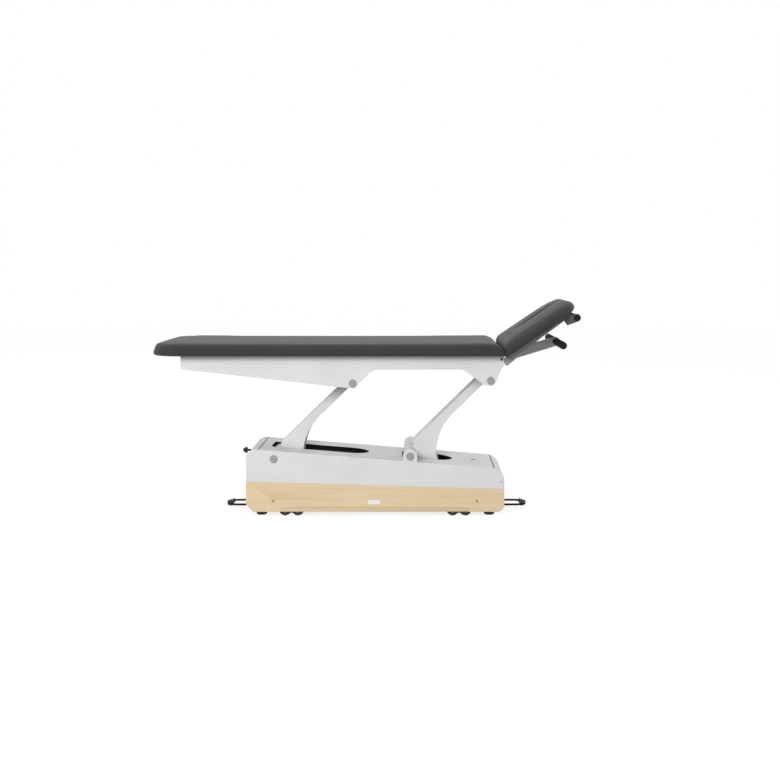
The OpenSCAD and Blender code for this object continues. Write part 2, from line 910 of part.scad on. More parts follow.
// Plugs over the chassis bolts, and the screws at the foot of the side plates
module base_screws() {
    color(steel) placed() {
        for (x = [-plug_x, plug_x])
            cross_rod_pair([x, base_gap + plug_rise], plug_r, half_base_w - plug_l,
                half_base_w + plug_proud);
        cross_rod_pair([half_base_l - screw_inset, wood_top_head + screw_rise], screw_r,
            plate_in_y, half_base_w + plug_proud);
    }
}

module levelling_feet() {
    color(dark) placed() for (x = [-foot_x, foot_x], y = [-foot_y, foot_y])
        translate([x, y, 0]) {
            rotate_extrude() polygon(rounded([
                [0, 0, 0], [foot_r, 0, foot_round], [foot_r, foot_h, foot_round], [0, foot_h, 0],
            ]));
            cylinder(r = stem_r, h = stem_top);
        }
}

module pedal_bearings() {
    color(grey) placed() for (x = [-pedal_x, pedal_x]) difference() {
        slab_pair(bearing_y, bearing_y + bearing_w) {
            translate([x, pedal_z]) circle(r = bearing_r);
            translate([x - bearing_r, pedal_z]) square([2 * bearing_r, rail_z - pedal_z]);
        }
        cross_rod([x, pedal_z], pedal_shaft_r + running_gap, -half_base_w, half_base_w);
    }
}

// Slotted barrel that locks the drive, turned a quarter with a key or coin
module lock_switch() {
    color(dark) placed() at_switch() difference() {
        union() {
            translate([0, 0, switch_gap]) cylinder(r = switch_head_r, h = switch_head_h);
            translate([0, 0, -switch_l]) cylinder(r = switch_r, h = switch_l + switch_gap);
        }
        translate([0, 0, switch_gap + switch_head_h])
            cube([switch_slot_l, switch_slot_w, 2 * switch_slot_d], center = true);
    }
}

// Side view of an arm, with the arm lying along X
module arm_outline() {
    lobe = along([0, 0], -crank_angle, crank_r);
    flare = [waist_u, -arm_front - flare_r];
    left = -crank_angle - 90;
    difference() {
        polygon(concat(
            arc([0, 0], arm_back, left + full_turn, neck_angle),
            [[neck_u, arm_back]],
            arc([arm_l, 0], arm_back, 90, tip_angle - full_turn),
            [[arm_l - tip_back, -tip_front]],
            arc(flare, flare_r, 90, flare_end_angle),
            arc(lobe, crank_lobe_r, lobe_start_angle, left)
        ));
        circle(r = hub_r);
        translate([arm_l, 0]) circle(r = hub_r);
        translate(lobe) circle(r = crank_pin_r);
    }
}

// Arm bent from one sheet: two flanges joined by a web along the back
module arm_channel() {
    far = arm_l + crank_r;
    under = arm_back - arm_t;
    difference() {
        slab(-half_arm_w, half_arm_w) arm_outline();
        slab(-half_arm_w + arm_t, half_arm_w - arm_t) polygon([
            [-far, -far], [far, -far], [far, far], [arm_l - web_end, far],
            [arm_l - web_end, under], [web_start, under], [web_start, far], [-far, far],
        ]);
    }
}

module arm_hubs() {
    difference() {
        union() {
            cross_rod([0, 0], hub_r, -lower_hub_half, lower_hub_half);
            cross_rod([arm_l, 0], hub_r, -upper_hub_half, upper_hub_half);
        }
        cross_rod([0, 0], bush_r, -half_base_w, half_base_w);
        cross_rod([arm_l, 0], bush_r, -frame_in_y, frame_in_y);
    }
}

module arm_bushes() {
    bore = shaft_r + running_gap;
    ring_pair([0, 0], bush_r, bore, lower_hub_half - bush_l, lower_hub_half);
    ring_pair([arm_l, 0], bush_r, bore, upper_hub_half - bush_l, upper_hub_half);
}

module foot_arm_channel() {
    color(white) placed() swung(foot_pivot, lift_angle) arm_channel();
}

module foot_arm_hubs() {
    color(white) placed() swung(foot_pivot, lift_angle) arm_hubs();
}

module foot_arm_bushes() {
    color(grey) placed() swung(foot_pivot, lift_angle) arm_bushes();
}

module head_arm_channel() {
    color(white) placed() swung(head_pivot, lift_angle) arm_channel();
}

module head_arm_hubs() {
    color(white) placed() swung(head_pivot, lift_angle) arm_hubs();
}

module head_arm_bushes() {
    color(grey) placed() swung(head_pivot, lift_angle) arm_bushes();
}

module crank_pin() {
    color(steel) placed() {
        cross_rod(crank, crank_pin_r, -half_arm_w, half_arm_w);
        cross_rod_pair(crank, pin_head_r, half_arm_w, half_arm_w + pin_head_t);
    }
}

module actuator_gearbox() {
    top = tube_r + gear_wall;
    low = motor_drop + motor_r + gear_wall / 2;
    color(dark) placed() swung(anchor, actuator_angle)
        slab(-gearbox_w / 2, gearbox_w / 2) difference() {
            union() {
                circle(r = gear_eye_r);
                polygon(rounded([
                    [0, gear_eye_r, 0], [gear_neck_l, top, gear_corner_r],
                    [gearbox_l, top, 0], [gearbox_l, -low, gear_corner_r],
                    [gear_neck_l, -low, gear_corner_r], [0, -gear_eye_r, 0],
                ]));
            }
            circle(r = rear_pin_r + running_gap);
        }
}

module actuator_motor() {
    color(dark) placed() swung(anchor, actuator_angle)
        translate([gearbox_l, 0, -motor_drop]) rotate([0, 90, 0]) {
            cylinder(r = motor_r, h = motor_l - motor_lid_t);
            cylinder(r = motor_lid_r, h = motor_l);
        }
}

module actuator_tube() {
    color(grey) placed() swung(anchor, actuator_angle)
        translate([gearbox_l, 0, 0]) rotate([0, 90, 0]) difference() {
            cylinder(r = tube_r, h = tube_end - gearbox_l);
            translate([0, 0, tube_floor]) cylinder(r = tube_r - tube_t, h = tube_end);
        }
}

module actuator_rod() {
    color(steel) placed() swung(crank, actuator_angle + 180) difference() {
        union() {
            rotate([0, 90, 0]) cylinder(r = rod_r, h = rod_l);
            cross_rod([0, 0], rod_eye_r, -rod_eye_half, rod_eye_half);
        }
        cross_rod([0, 0], crank_pin_r + running_gap, -half_arm_w, half_arm_w);
    }
}

// Side plate of the top frame: it deepens to both upper pivots and is shallow between them
module frame_outline() {
    edge = frame_top_z - frame_mid_d;
    difference() {
        union() {
            polygon(rounded([
                [-frame_foot_x, frame_top_z, 0],
                [-frame_foot_x, frame_top_z - frame_end_d, frame_corner_r],
                [foot_top[0], foot_top[1] - frame_lobe_r, 0],
                concat(along(foot_top, rise_angle, frame_lobe_r), 0),
                [foot_top[0] + rise_l, edge, rise_r],
                [head_top[0] - fall_l, edge, fall_r],
                [head_top[0] - chin_l, head_top[1] - chin_h, chin_r],
                concat(along(head_top, chin_angle, frame_lobe_r), 0),
                concat(along(head_top, heel_angle, frame_lobe_r), 0),
                [head_top[0] + heel_l, head_top[1] + heel_h, 0],
                [head_top[0] + frame_head_l, head_top[1] + heel_rise, frame_corner_r],
                [head_top[0] + frame_head_l, frame_top_z, 0],
            ]));
            translate(foot_top) circle(r = frame_lobe_r);
            translate(head_top) circle(r = frame_lobe_r);
        }
        translate(foot_top) circle(r = shaft_r);
        translate(head_top) circle(r = shaft_r);
        translate([hinge_x, hinge_z]) circle(r = hinge_pin_r);
    }
}

module frame_side() {
    slab(-frame_w / 2, -frame_in_y) frame_outline();
    translate([-frame_foot_x, -frame_w / 2, frame_top_z - frame_t])
        cube([frame_foot_x + hinge_x - flange_end, frame_t + flange_w, frame_t]);
}

module frame_side_near() {
    color(white) placed() frame_side();
}

module frame_side_far() {
    color(white) placed() mirror([0, 1, 0]) frame_side();
}

module cross_member(x) {
    translate([x, 0, frame_top_z - frame_t - member_w / 2])
        tube_y([member_w, 2 * frame_in_y, member_w], member_t);
}

// Two lugs with a pin that hold one end of the gas spring; from is where they spring from
module gas_lugs(p, from) {
    inner = spring_tube_r + gas_lug_gap;
    translate([0, spring_y, 0]) {
        slab_pair(inner, inner + gas_lug_t) {
            translate(p) circle(r = gas_lug_r);
            polygon(from);
        }
        cross_rod(p, spring_rod_r, -inner - gas_lug_t, inner + gas_lug_t);
    }
}

module frame_cross_members() {
    span = gas_anchor[0] - gas_member_back + frame_foot_x;
    gas_member_x = gas_anchor[0] - gas_member_back;
    low = frame_top_z - frame_t - member_w;
    color(white) placed() {
        for (share = member_shares) cross_member(-frame_foot_x + share * span);
        cross_member(gas_member_x);
        gas_lugs(gas_anchor, [
            [gas_member_x - member_w / 2, low], [gas_member_x + member_w / 2, low],
            [gas_anchor[0] + gas_lug_r, gas_anchor[1]],
            [gas_anchor[0] - gas_lug_r, gas_anchor[1]],
        ]);
    }
}

module upper_pivot_shafts() {
    color(steel) placed() for (p = [foot_top, head_top])
        cross_rod(p, shaft_r, -frame_w / 2, frame_w / 2);
}

module upper_pivot_caps() {
    color(steel) placed() caps([foot_top, head_top], frame_w / 2);
}

module upper_pivot_washers() {
    color(dark) placed() washers([foot_top, head_top], upper_hub_half);
}

// Plywood board in a cushion, from x0 to x1, with its corners' radii
module ply(x0, x1, r0, r1, grow) {
    w = ply_half + grow;
    linear_extrude(ply_t) polygon(rounded([
        [x0 - grow, -w, r0], [x1 + grow, -w, r1], [x1 + grow, w, r1], [x0 - grow, w, r0],
    ]));
}

// How far a face stands back at height z: in the roll of radius r below top, and in the rounded
// lower edge of radius r
function roll_inset(z, top, r) =
    z <= top - r ? 0 : r - sqrt(max(0, r * r - pow(z - top + r, 2)));
function lower_inset(z, r) = z >= r ? 0 : r - sqrt(r * r - pow(r - z, 2));

// Points between p and q on a side drawn in by d at its middle, square to the side
function side_points(p, q, d, n) =
    let(v = unit(q - p), inward = [-v[1], v[0]])
    [for (i = [1:n]) p + (q - p) * i / (n + 1) + inward * d * sin(180 * i / (n + 1))];

function arc_points(c, r, start) =
    [for (i = [0:corner_points]) along(c, start + 90 * i / corner_points, r)];

corner_points = 7;
side_count = 7;
end_count = 3;
// One closed ring of a cushion, counterclockwise from its near right corner, at height z
function cushion_ring(x0, x1, w, r0, r1, d, z) = [for (p = concat(
    arc_points([x1 - r1, -w + r1], r1, -90),
    side_points([x1, -w + r1], [x1, w - r1], 0, end_count),
    arc_points([x1 - r1, w - r1], r1, 0),
    side_points([x1 - r1, w], [x0 + r0, w], d, side_count),
    arc_points([x0 + r0, w - r0], r0, 90),
    side_points([x0, w - r0], [x0, -w + r0], 0, end_count),
    arc_points([x0 + r0, -w + r0], r0, 180),
    side_points([x0 + r0, -w], [x1 - r1, -w], d, side_count)
)) [p[0], p[1], z]];

// Steps of the lower edge, the rolled upper edge and the crown
lower_steps = 3;
roll_steps = 7;
crown_shares = [0.12, 0.28, 0.48, 0.72, 0.94];

// Cushion as a stack of rings: a rounded lower edge, straight sides, a rolled upper edge and a
// crown. Each end is [its corners' radius, upper edge's radius, lean of its face, lower edge's
// radius].
module cushion(x0, x1, end0, end1, crown_h) {
    inner = min(half_cushion, (x1 - x0) / 2);
    lower = [for (i = [0:lower_steps]) [lower_r * (1 - cos(90 * i / lower_steps)), 0]];
    upper = [for (i = [0:roll_steps])
        [cushion_t - roll_r * (1 - sin(90 * i / roll_steps)), 0]];
    crown = [for (s = crown_shares) [cushion_t + crown_h * (1 - pow(1 - s, 2)), s]];
    function end_inset(h, e) =
        lower_inset(h, e[3]) + roll_inset(h, cushion_t, e[1]) + e[2] * h / cushion_t;
    rings = [for (l = concat(lower, upper, crown))
        let(
            h = min(l[0], cushion_t),
            in = l[1] * (inner - roll_r),
            side = in + lower_inset(h, lower_r) + roll_inset(h, cushion_t, roll_r),
            left = 1 - side / inner * ring_corner_share
        )
        cushion_ring(x0 + in + end_inset(h, end0), x1 - in - end_inset(h, end1),
            half_cushion - side, end0[0] * left, end1[0] * left, draw_in * left, l[0])];
    n = len(rings[0]);
    last = len(rings) - 1;
    polyhedron(
        points = [for (ring = rings) each ring],
        faces = concat(
            [[for (i = [0:n - 1]) i]],
            [for (k = [0:last - 1], i = [0:n - 1])
                let(a = k * n + i, b = k * n + (i + 1) % n) each [[a, a + n, b], [b, a + n, b + n]]],
            [[for (i = [n - 1:-1:0]) last * n + i]]
        )
    );
}
// How much of their radius the corners lose from the outer ring to the last
ring_corner_share = 0.97;

main_ply_x0 = -cushion_foot_x + ply_inset;
main_ply_x1 = hinge_x;
head_ply_a0 = head_start + ply_joint_gap;
head_ply_a1 = head_start + head_l - ply_inset;

module main_board() {
    color(dark) placed() translate([0, 0, frame_top_z])
        ply(main_ply_x0, main_ply_x1, foot_corner_r - ply_inset, board_corner_r, 0);
}

module main_cushion() {
    color(upholstery) placed() translate([0, 0, frame_top_z]) difference() {
        cushion(-cushion_foot_x, cushion_head_x, [foot_corner_r, foot_roll_r, foot_lean, lower_r],
            [joint_corner_r, joint_roll_r, joint_lean, joint_lower_r], crown_h);
        translate([0, 0, -over]) ply(main_ply_x0, main_ply_x1, foot_corner_r - ply_inset,
            board_corner_r, ply_gap);
        ply(main_ply_x0, main_ply_x1, foot_corner_r - ply_inset, board_corner_r, ply_gap);
    }
}

module head_hinge_pins() {
    color(steel) placed() cross_rod_pair([hinge_x, hinge_z], hinge_pin_r, tray_in_y - tray_t,
        frame_w / 2);
}

module gas_spring_cylinder() {
    color(dark) placed() translate([0, spring_y, 0]) swung(gas_anchor, gas_angle) difference() {
        union() {
            cross_rod([0, 0], gas_eye_r, -spring_tube_r, spring_tube_r);
            rotate([0, 90, 0]) cylinder(r = spring_tube_r, h = spring_tube_l);
        }
        cross_rod([0, 0], spring_rod_r + running_gap, -2 * spring_tube_r, 2 * spring_tube_r);
        translate([gas_floor, 0, 0]) rotate([0, 90, 0])
            cylinder(r = spring_tube_r - gas_wall, h = spring_tube_l - gas_floor - gas_wall);
        translate([gas_floor, 0, 0]) rotate([0, 90, 0])
            cylinder(r = spring_rod_r + gas_slide_gap, h = spring_tube_l);
    }
}

module gas_spring_rod() {
    color(steel) placed() translate([0, spring_y, 0]) swung(gas_top_world, gas_angle + 180)
        difference() {
            union() {
                cross_rod([0, 0], gas_eye_r, -spring_tube_r, spring_tube_r);
                rotate([0, 90, 0]) cylinder(r = spring_rod_r, h = spring_rod_l);
                translate([spring_rod_l - piston_l, 0, 0]) rotate([0, 90, 0])
                    cylinder(r = spring_tube_r - gas_wall - gas_slide_gap, h = piston_l);
            }
            cross_rod([0, 0], spring_rod_r + running_gap, -2 * spring_tube_r, 2 * spring_tube_r);
        }
}

// Places a piece of the head section, drawn from the hinge: X along the section, Z square to it
module on_head() {
    placed() swung([hinge_x, hinge_z], head_tilt) children();
}

module tray_outline() {
    difference() {
        union() {
            polygon(rounded([
                [0, -head_drop, 0], [0, -tray_low, tray_foot_r],
                [tray_taper_a, -head_drop - tray_waist_d, 0],
                [tray_l, -head_drop - tray_tip_d, 0], [tray_l, -head_drop, 0],
            ]));
            circle(r = tray_lug_r);
        }
        circle(r = hinge_pin_r + running_gap);
    }
}

// Welded tray that carries the head cushion: two side plates, two cross plates and the lugs
module head_tray() {
    under = -head_drop - cross_t;
    lug_y = lever_half_w + lever_lug_gap;
    color(white) on_head() {
        slab_pair(tray_in_y, tray_out_y) tray_outline();
        for (i = [0:1])
            translate([cross_starts[i], -tray_out_y, under])
                cube([cross_lengths[i], 2 * tray_out_y, cross_t]);
        difference() {
            slab_pair(lug_y, lug_y + lever_lug_t) {
                translate([lever_a, -lever_b]) circle(r = lever_lug_r);
                translate([lever_a - lever_lug_r, -lever_b])
                    square([2 * lever_lug_r, lever_b - head_drop]);
            }
            cross_rod([lever_a, -lever_b], lever_pin_r, -half_cushion, half_cushion);
        }
        gas_lugs(gas_top, [
            [gas_top[0] - gas_lug_r, gas_top[1]], [gas_top[0] + gas_lug_r, gas_top[1]],
            [gas_top[0] + gas_lug_r, -head_drop], [gas_top[0] - gas_lug_r, -head_drop],
        ]);
    }
}

// Opening for the face: a lens between two arcs, from a face_start along the section
module face_lens(grow) {
    l = face_l / 2 + grow;
    w = face_w / 2 + grow;
    r = (l * l + w * w) / (2 * w);
    translate([face_start + face_l / 2, 0]) intersection() {
        translate([0, r - w]) circle(r = r);
        translate([0, w - r]) circle(r = r);
    }
}

module head_board() {
    color(dark) on_head() difference() {
        translate([0, 0, -head_drop])
            ply(head_ply_a0, head_ply_a1, board_corner_r, head_corner_r - ply_inset, 0);
        translate([0, 0, -head_drop - over]) linear_extrude(ply_t + 2 * over) face_lens(0);
    }
}

module head_cushion() {
    color(upholstery) on_head() translate([0, 0, -head_drop]) difference() {
        cushion(head_start, head_start + head_l,
            [joint_corner_r, joint_roll_r, head_lean, joint_lower_r],
            [head_corner_r, roll_r, 0, lower_r], head_crown_h);
        translate([0, 0, -over]) ply(head_ply_a0, head_ply_a1, board_corner_r,
            head_corner_r - ply_inset, ply_gap);
        ply(head_ply_a0, head_ply_a1, board_corner_r, head_corner_r - ply_inset, ply_gap);
        translate([0, 0, -over]) linear_extrude(2 * cushion_t) face_lens(0);
    }
}

module head_end_brackets() {
    start = tray_l - bracket_back;
    bar = [end_bar_a, -end_bar_b];
    ring = end_bar_r + bracket_ring_t;
    color(grey) on_head() slab_pair(tray_in_y - end_bracket_t, tray_in_y) difference() {
        union() {
            polygon([
                [start, -head_drop], [start, -tray_low], along(bar, -100, ring),
                along(bar, 60, ring), [start + bracket_l, -head_drop],
            ]);
            translate(bar) circle(r = ring);
        }
        translate(bar) circle(r = end_bar_r);
    }
}

module head_end_bar() {
    color(dark) on_head()
        cross_rod([end_bar_a, -end_bar_b], end_bar_r, -end_bar_l / 2, end_bar_l / 2);
}

module lever_pins() {
    inner = lever_half_w - lever_t - over;
    color(steel) on_head() cross_rod_pair([lever_a, -lever_b], lever_pin_r, inner,
        lever_half_w + lever_lug_gap + lever_lug_t);
}

module on_lever() {
    on_head() swung([lever_a, -lever_b], -lever_angle) children();
}

// Lever that releases the gas spring: a channel with a cross tube at its end
module release_lever() {
    low = lever_d - lever_rise;
    tube = [lever_l, -lever_tube_drop];
    color(grey) on_lever() difference() {
        union() {
            slab_pair(lever_half_w - lever_t, lever_half_w) {
                circle(r = lever_rise);
                polygon(rounded([
                    [0, lever_rise, 0], [0, -lever_rise, 0], [low, -low, lever_round],
                    [lever_l, -low, 0], [lever_l, lever_rise, 0],
                ]));
                translate(tube) circle(r = lever_clamp_r);
            }
            translate([lever_rise, -lever_half_w, lever_rise - lever_t])
                cube([lever_l - lever_clamp_r - lever_rise, 2 * lever_half_w, lever_t]);
            cross_rod(tube, lever_tube_r, -lever_tube_l / 2, lever_tube_l / 2);
        }
        cross_rod([0, 0], lever_pin_r + running_gap, -half_cushion, half_cushion);
    }
}

// Foam sleeves, closed at their outer ends
module lever_grips() {
    tube = [lever_l, -lever_tube_drop];
    color(dark) on_lever() difference() {
        cross_rod_pair(tube, grip_r, grip_start, lever_tube_l / 2 + grip_end_t);
        cross_rod(tube, lever_tube_r, -lever_tube_l / 2, lever_tube_l / 2);
    }
}

// Quarter of a bent bar that turns from X to Y
module loop_bend() {
    rotate_extrude(angle = 90) translate([loop_corner_r, 0]) circle(r = loop_r);
}

// Pedal for the head end: a loop, the shaft it turns on and the plates that carry the axles
module pedal() {
    axles = [[wheel_x, axle_z], [wheel_x + wheel_pitch, axle_z]];
    bar = [pedal_x + loop_bar_l, loop_z];
    bar_end = pedal_reach - loop_r - loop_corner_r;
    leg = bar_end - bar[0];
    half_loop = loop_w / 2;
    cross_rod([pedal_x, pedal_z], pedal_shaft_r, -carrier_out_y, carrier_out_y);
    cross_rod(bar, loop_bar_r, -carrier_out_y, carrier_out_y);
    slab_pair(carrier_out_y - carrier_t, carrier_out_y) difference() {
        union() {
            translate([pedal_x, pedal_z]) circle(r = carrier_hub_r);
            for (p = axles) translate(p) circle(r = carrier_lobe_r);
            translate(bar) circle(r = loop_bar_r);
            polygon([
                [pedal_x, pedal_z + carrier_hub_r], [pedal_x, pedal_z - carrier_hub_r],
                [wheel_x, axle_z - carrier_lobe_r], axles[1] - [0, carrier_lobe_r],
                bar - [0, loop_bar_r], bar + [0, loop_bar_r], axles[1] + [0, carrier_lobe_r],
                axles[0] + [0, carrier_lobe_r],
            ]);
        }
        for (p = axles) translate(p) circle(r = axle_r + running_gap);
    }
    for (side = [0, 1]) mirror([0, side, 0]) translate([0, half_loop, loop_z]) {
        translate([bar[0], 0, 0]) rotate([0, 90, 0]) cylinder(r = loop_r, h = leg);
        translate([bar_end, -loop_corner_r, 0]) loop_bend();
    }
    cross_rod([pedal_reach - loop_r, loop_z], loop_r, -half_loop + loop_corner_r,
        half_loop - loop_corner_r);
    translate([0, 0, loop_z - pad_half_t]) linear_extrude(2 * pad_half_t) intersection() {
        polygon(rounded([
            [bar[0], -half_loop, 0], [pedal_reach, -half_loop, loop_corner_r],
            [pedal_reach, half_loop, loop_corner_r], [bar[0], half_loop, 0],
        ]));
        translate([pedal_reach - pad_l, -half_loop]) square([pad_l, loop_w]);
    }
    cross_rod([pedal_reach - pad_l + nub_r, loop_z + pad_half_t], nub_r, nub_margin - half_loop,
        half_loop - nub_margin);
}

module pedal_foot() {
    color(dark) placed() mirror([1, 0, 0]) pedal();
}

module pedal_head() {
    color(dark) placed() pedal();
}

// Two wheels on one axle at x
module wheelset(x) {
    cross_rod([x, axle_z], axle_r, -wheel_in_y - wheel_w / 2, wheel_in_y + wheel_w / 2);
    for (side = [0, 1]) mirror([0, side, 0]) translate([x, wheel_in_y, axle_z])
        rotate([-90, 0, 0]) rotate_extrude() polygon(rounded([
            [0, 0, 0], [wheel_r, 0, wheel_round], [wheel_r, wheel_w, wheel_round],
            [0, wheel_w, 0],
        ]));
}

module wheels_foot_outer() {
    color(dark) placed() wheelset(-wheel_x - wheel_pitch);
}

module wheels_foot_inner() {
    color(dark) placed() wheelset(-wheel_x);
}

module wheels_head_inner() {
    color(dark) placed() wheelset(wheel_x);
}

module wheels_head_outer() {
    color(dark) placed() wheelset(wheel_x + wheel_pitch);
}

wood_side_near();
wood_side_far();
wood_end_foot();
wood_end_head();
bottom_board();
base_chassis();
side_plate_near();
side_plate_far();
top_cover();
end_cap_foot();
end_cap_head();
lower_pivot_shafts();
lower_pivot_caps();
lower_pivot_washers();
actuator_rear_pin();
control_box();
cord_gland();
hanging_knob();
side_inlay();
base_screws();
levelling_feet();
pedal_bearings();
lock_switch();
foot_arm_channel();
foot_arm_hubs();
foot_arm_bushes();
head_arm_channel();
head_arm_hubs();
head_arm_bushes();
crank_pin();
actuator_gearbox();
actuator_motor();
actuator_tube();
actuator_rod();
frame_side_near();
frame_side_far();
frame_cross_members();
upper_pivot_shafts();
upper_pivot_caps();
upper_pivot_washers();
main_board();
main_cushion();
head_hinge_pins();
gas_spring_cylinder();
gas_spring_rod();
head_tray();
head_board();
head_cushion();
head_end_brackets();
head_end_bar();
lever_pins();
release_lever();
lever_grips();
pedal_foot();
pedal_head();
wheels_foot_outer();
wheels_foot_inner();
wheels_head_inner();
wheels_head_outer();
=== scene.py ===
import json
import math

import bmesh
import bpy
import numpy as np
from mathutils import Matrix, Vector


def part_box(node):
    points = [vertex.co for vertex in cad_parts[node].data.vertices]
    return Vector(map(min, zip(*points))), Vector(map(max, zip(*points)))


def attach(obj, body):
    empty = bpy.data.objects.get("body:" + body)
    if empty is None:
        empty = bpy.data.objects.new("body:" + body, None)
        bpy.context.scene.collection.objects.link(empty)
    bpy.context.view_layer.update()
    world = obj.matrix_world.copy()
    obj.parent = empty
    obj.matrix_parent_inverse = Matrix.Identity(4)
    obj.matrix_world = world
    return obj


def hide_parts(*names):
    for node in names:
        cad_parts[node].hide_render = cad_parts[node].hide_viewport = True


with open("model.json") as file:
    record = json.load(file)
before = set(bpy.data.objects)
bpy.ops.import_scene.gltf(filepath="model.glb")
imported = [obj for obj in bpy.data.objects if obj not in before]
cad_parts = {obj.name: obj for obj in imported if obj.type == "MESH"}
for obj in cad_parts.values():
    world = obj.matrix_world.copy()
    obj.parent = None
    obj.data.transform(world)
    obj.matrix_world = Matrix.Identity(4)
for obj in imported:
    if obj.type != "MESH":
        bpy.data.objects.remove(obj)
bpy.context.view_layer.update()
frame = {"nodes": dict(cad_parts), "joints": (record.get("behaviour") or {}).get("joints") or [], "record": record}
scene = bpy.context.scene
scene.view_settings.view_transform = "Standard"
nodes = frame["nodes"]
jointPlace = {joint["name"]: Vector(joint["pos_m"]) for joint in frame["joints"]}
print("frame loaded:", len(nodes), "CAD nodes")


# Camera

photoView = {
    "place": (0.2402, -5.4, 1.196),  # metres, level with the horizon of the photograph
    "focalPixels": 1109,
    "horizonPixel": (417, 262),  # where lines square to the table's side meet
    "imagePixels": (780, 781),
    "sensorWidth": 36.0,
    "farthest": 60.0,
}


# The photograph's upright edges are parallel, so the camera looks level along Y and its
# framing is a shift of the sensor.
def makeCamera(view):
    width, height = view["imagePixels"]
    camera = bpy.data.objects.new("camera", bpy.data.cameras.new("camera"))
    scene.collection.objects.link(camera)
    lens = camera.data
    lens.sensor_fit = "HORIZONTAL"
    lens.sensor_width = view["sensorWidth"]
    lens.lens = view["focalPixels"] / width * view["sensorWidth"]
    lens.shift_x = (width / 2 - view["horizonPixel"][0]) / width
    lens.shift_y = (view["horizonPixel"][1] - height / 2) / width
    lens.clip_end = view["farthest"]
    camera.location = view["place"]
    camera.rotation_euler = (math.radians(90), 0, 0)
    scene.camera = camera


makeCamera(photoView)


# Floor, background and lamps

studio = {
    "floorSize": 30.0,
    "floorBounce": 0.35,  # colour of the floor as the object sees it
    "floorShade": 0.30,  # share of the floor's look that takes the shadow
    "floorWhite": 0.83,
    "worldLow": 0.38,  # light from the horizon and below
    "worldHigh": 0.62,  # and from overhead
    "keyPlace": (-1.3, -5.0, 2.5),
    "keySize": 1.8,
    "keyPower": 175.0,
    "fillPlace": (3.5, 4.0, 3.5),
    "fillSize": 3.0,
    "fillPower": 90.0,
    "aim": (0.0, 0.0, 0.5),
}


def addNode(tree, kind, values=None, **settings):
    node = tree.nodes.new(kind)
    for name, value in settings.items():
        setattr(node, name, value)
    for name, value in (values or {}).items():
        node.inputs[name].default_value = value
    return node


# 1 for the rays of these kinds, such as those from the camera.
def raysOf(tree, *kinds):
    path = addNode(tree, "ShaderNodeLightPath")
    found = path.outputs[kinds[0]]
    for kind in kinds[1:]:
        either = addNode(tree, "ShaderNodeMath", operation="MAXIMUM")
        tree.links.new(found, either.inputs[0])
        tree.links.new(path.outputs[kind], either.inputs[1])
        found = either.outputs[0]
    return found


# White where it is seen directly, mirrored or through glass, and a soft sky for diffuse light.
def makeWorld(values):
    world = bpy.data.worlds.new("studio")
    world.use_nodes = True
    scene.world = world
    tree = world.node_tree
    background = tree.nodes["Background"]
    background.inputs["Color"].default_value = (1, 1, 1, 1)
    place = addNode(tree, "ShaderNodeTexCoord")
    parts = addNode(tree, "ShaderNodeSeparateXYZ")
    height = addNode(tree, "ShaderNodeMapRange", {
        "To Min": values["worldLow"], "To Max": values["worldHigh"]})
    strength = addNode(tree, "ShaderNodeMix", data_type="FLOAT")
    strength.inputs[3].default_value = 1.0
    tree.links.new(place.outputs["Generated"], parts.inputs[0])
    tree.links.new(parts.outputs["Z"], height.inputs["Value"])
    tree.links.new(height.outputs["Result"], strength.inputs[2])
    seen = raysOf(tree, "Is Camera Ray", "Is Glossy Ray", "Is Transmission Ray")
    tree.links.new(seen, strength.inputs[0])
    tree.links.new(strength.outputs[0], background.inputs["Strength"])


# White but for the object's shadow where it is seen, and a grey that bounces some light.
def makeFloor(values):
    half = values["floorSize"] / 2
    mesh = bpy.data.meshes.new("floor")
    corners = [(-half, -half, 0), (half, -half, 0), (half, half, 0), (-half, half, 0)]
    mesh.from_pydata(corners, [], [(0, 1, 2, 3)])
    floor = bpy.data.objects.new("floor", mesh)
    scene.collection.objects.link(floor)
    material = bpy.data.materials.new("paleFloor")
    material.use_nodes = True
    tree = material.node_tree
    tree.nodes.remove(tree.nodes["Principled BSDF"])
    bounce = addNode(tree, "ShaderNodeBsdfDiffuse")
    bounce.inputs["Color"].default_value = [values["floorBounce"]] * 3 + [1]
    shade = addNode(tree, "ShaderNodeBsdfDiffuse")
    shade.inputs["Color"].default_value = [values["floorShade"]] * 3 + [1]
    white = addNode(tree, "ShaderNodeEmission", {"Strength": values["floorWhite"]})
    seen = addNode(tree, "ShaderNodeAddShader")
    mix = addNode(tree, "ShaderNodeMixShader")
    tree.links.new(shade.outputs[0], seen.inputs[0])
    tree.links.new(white.outputs[0], seen.inputs[1])
    direct = raysOf(tree, "Is Camera Ray", "Is Glossy Ray", "Is Transmission Ray")
    tree.links.new(direct, mix.inputs[0])
    tree.links.new(bounce.outputs[0], mix.inputs[1])
    tree.links.new(seen.outputs[0], mix.inputs[2])
    tree.links.new(mix.outputs[0], tree.nodes["Material Output"].inputs["Surface"])
    mesh.materials.append(material)


def makeLamp(name, place, aim, size, power):
    lamp = bpy.data.objects.new(name, bpy.data.lights.new(name, "AREA"))
    scene.collection.objects.link(lamp)
    lamp.data.size = size
    lamp.data.energy = power
    lamp.location = place
    lamp.visible_glossy = False  # glossy faces mirror the background alone
    lamp.rotation_euler = (Vector(aim) - Vector(place)).to_track_quat("-Z", "Y").to_euler()


makeWorld(studio)
makeFloor(studio)
makeLamp("key", studio["keyPlace"], studio["aim"], studio["keySize"], studio["keyPower"])
makeLamp("fill", studio["fillPlace"], studio["aim"], studio["fillSize"], studio["fillPower"])
print("studio ready")


# Materials

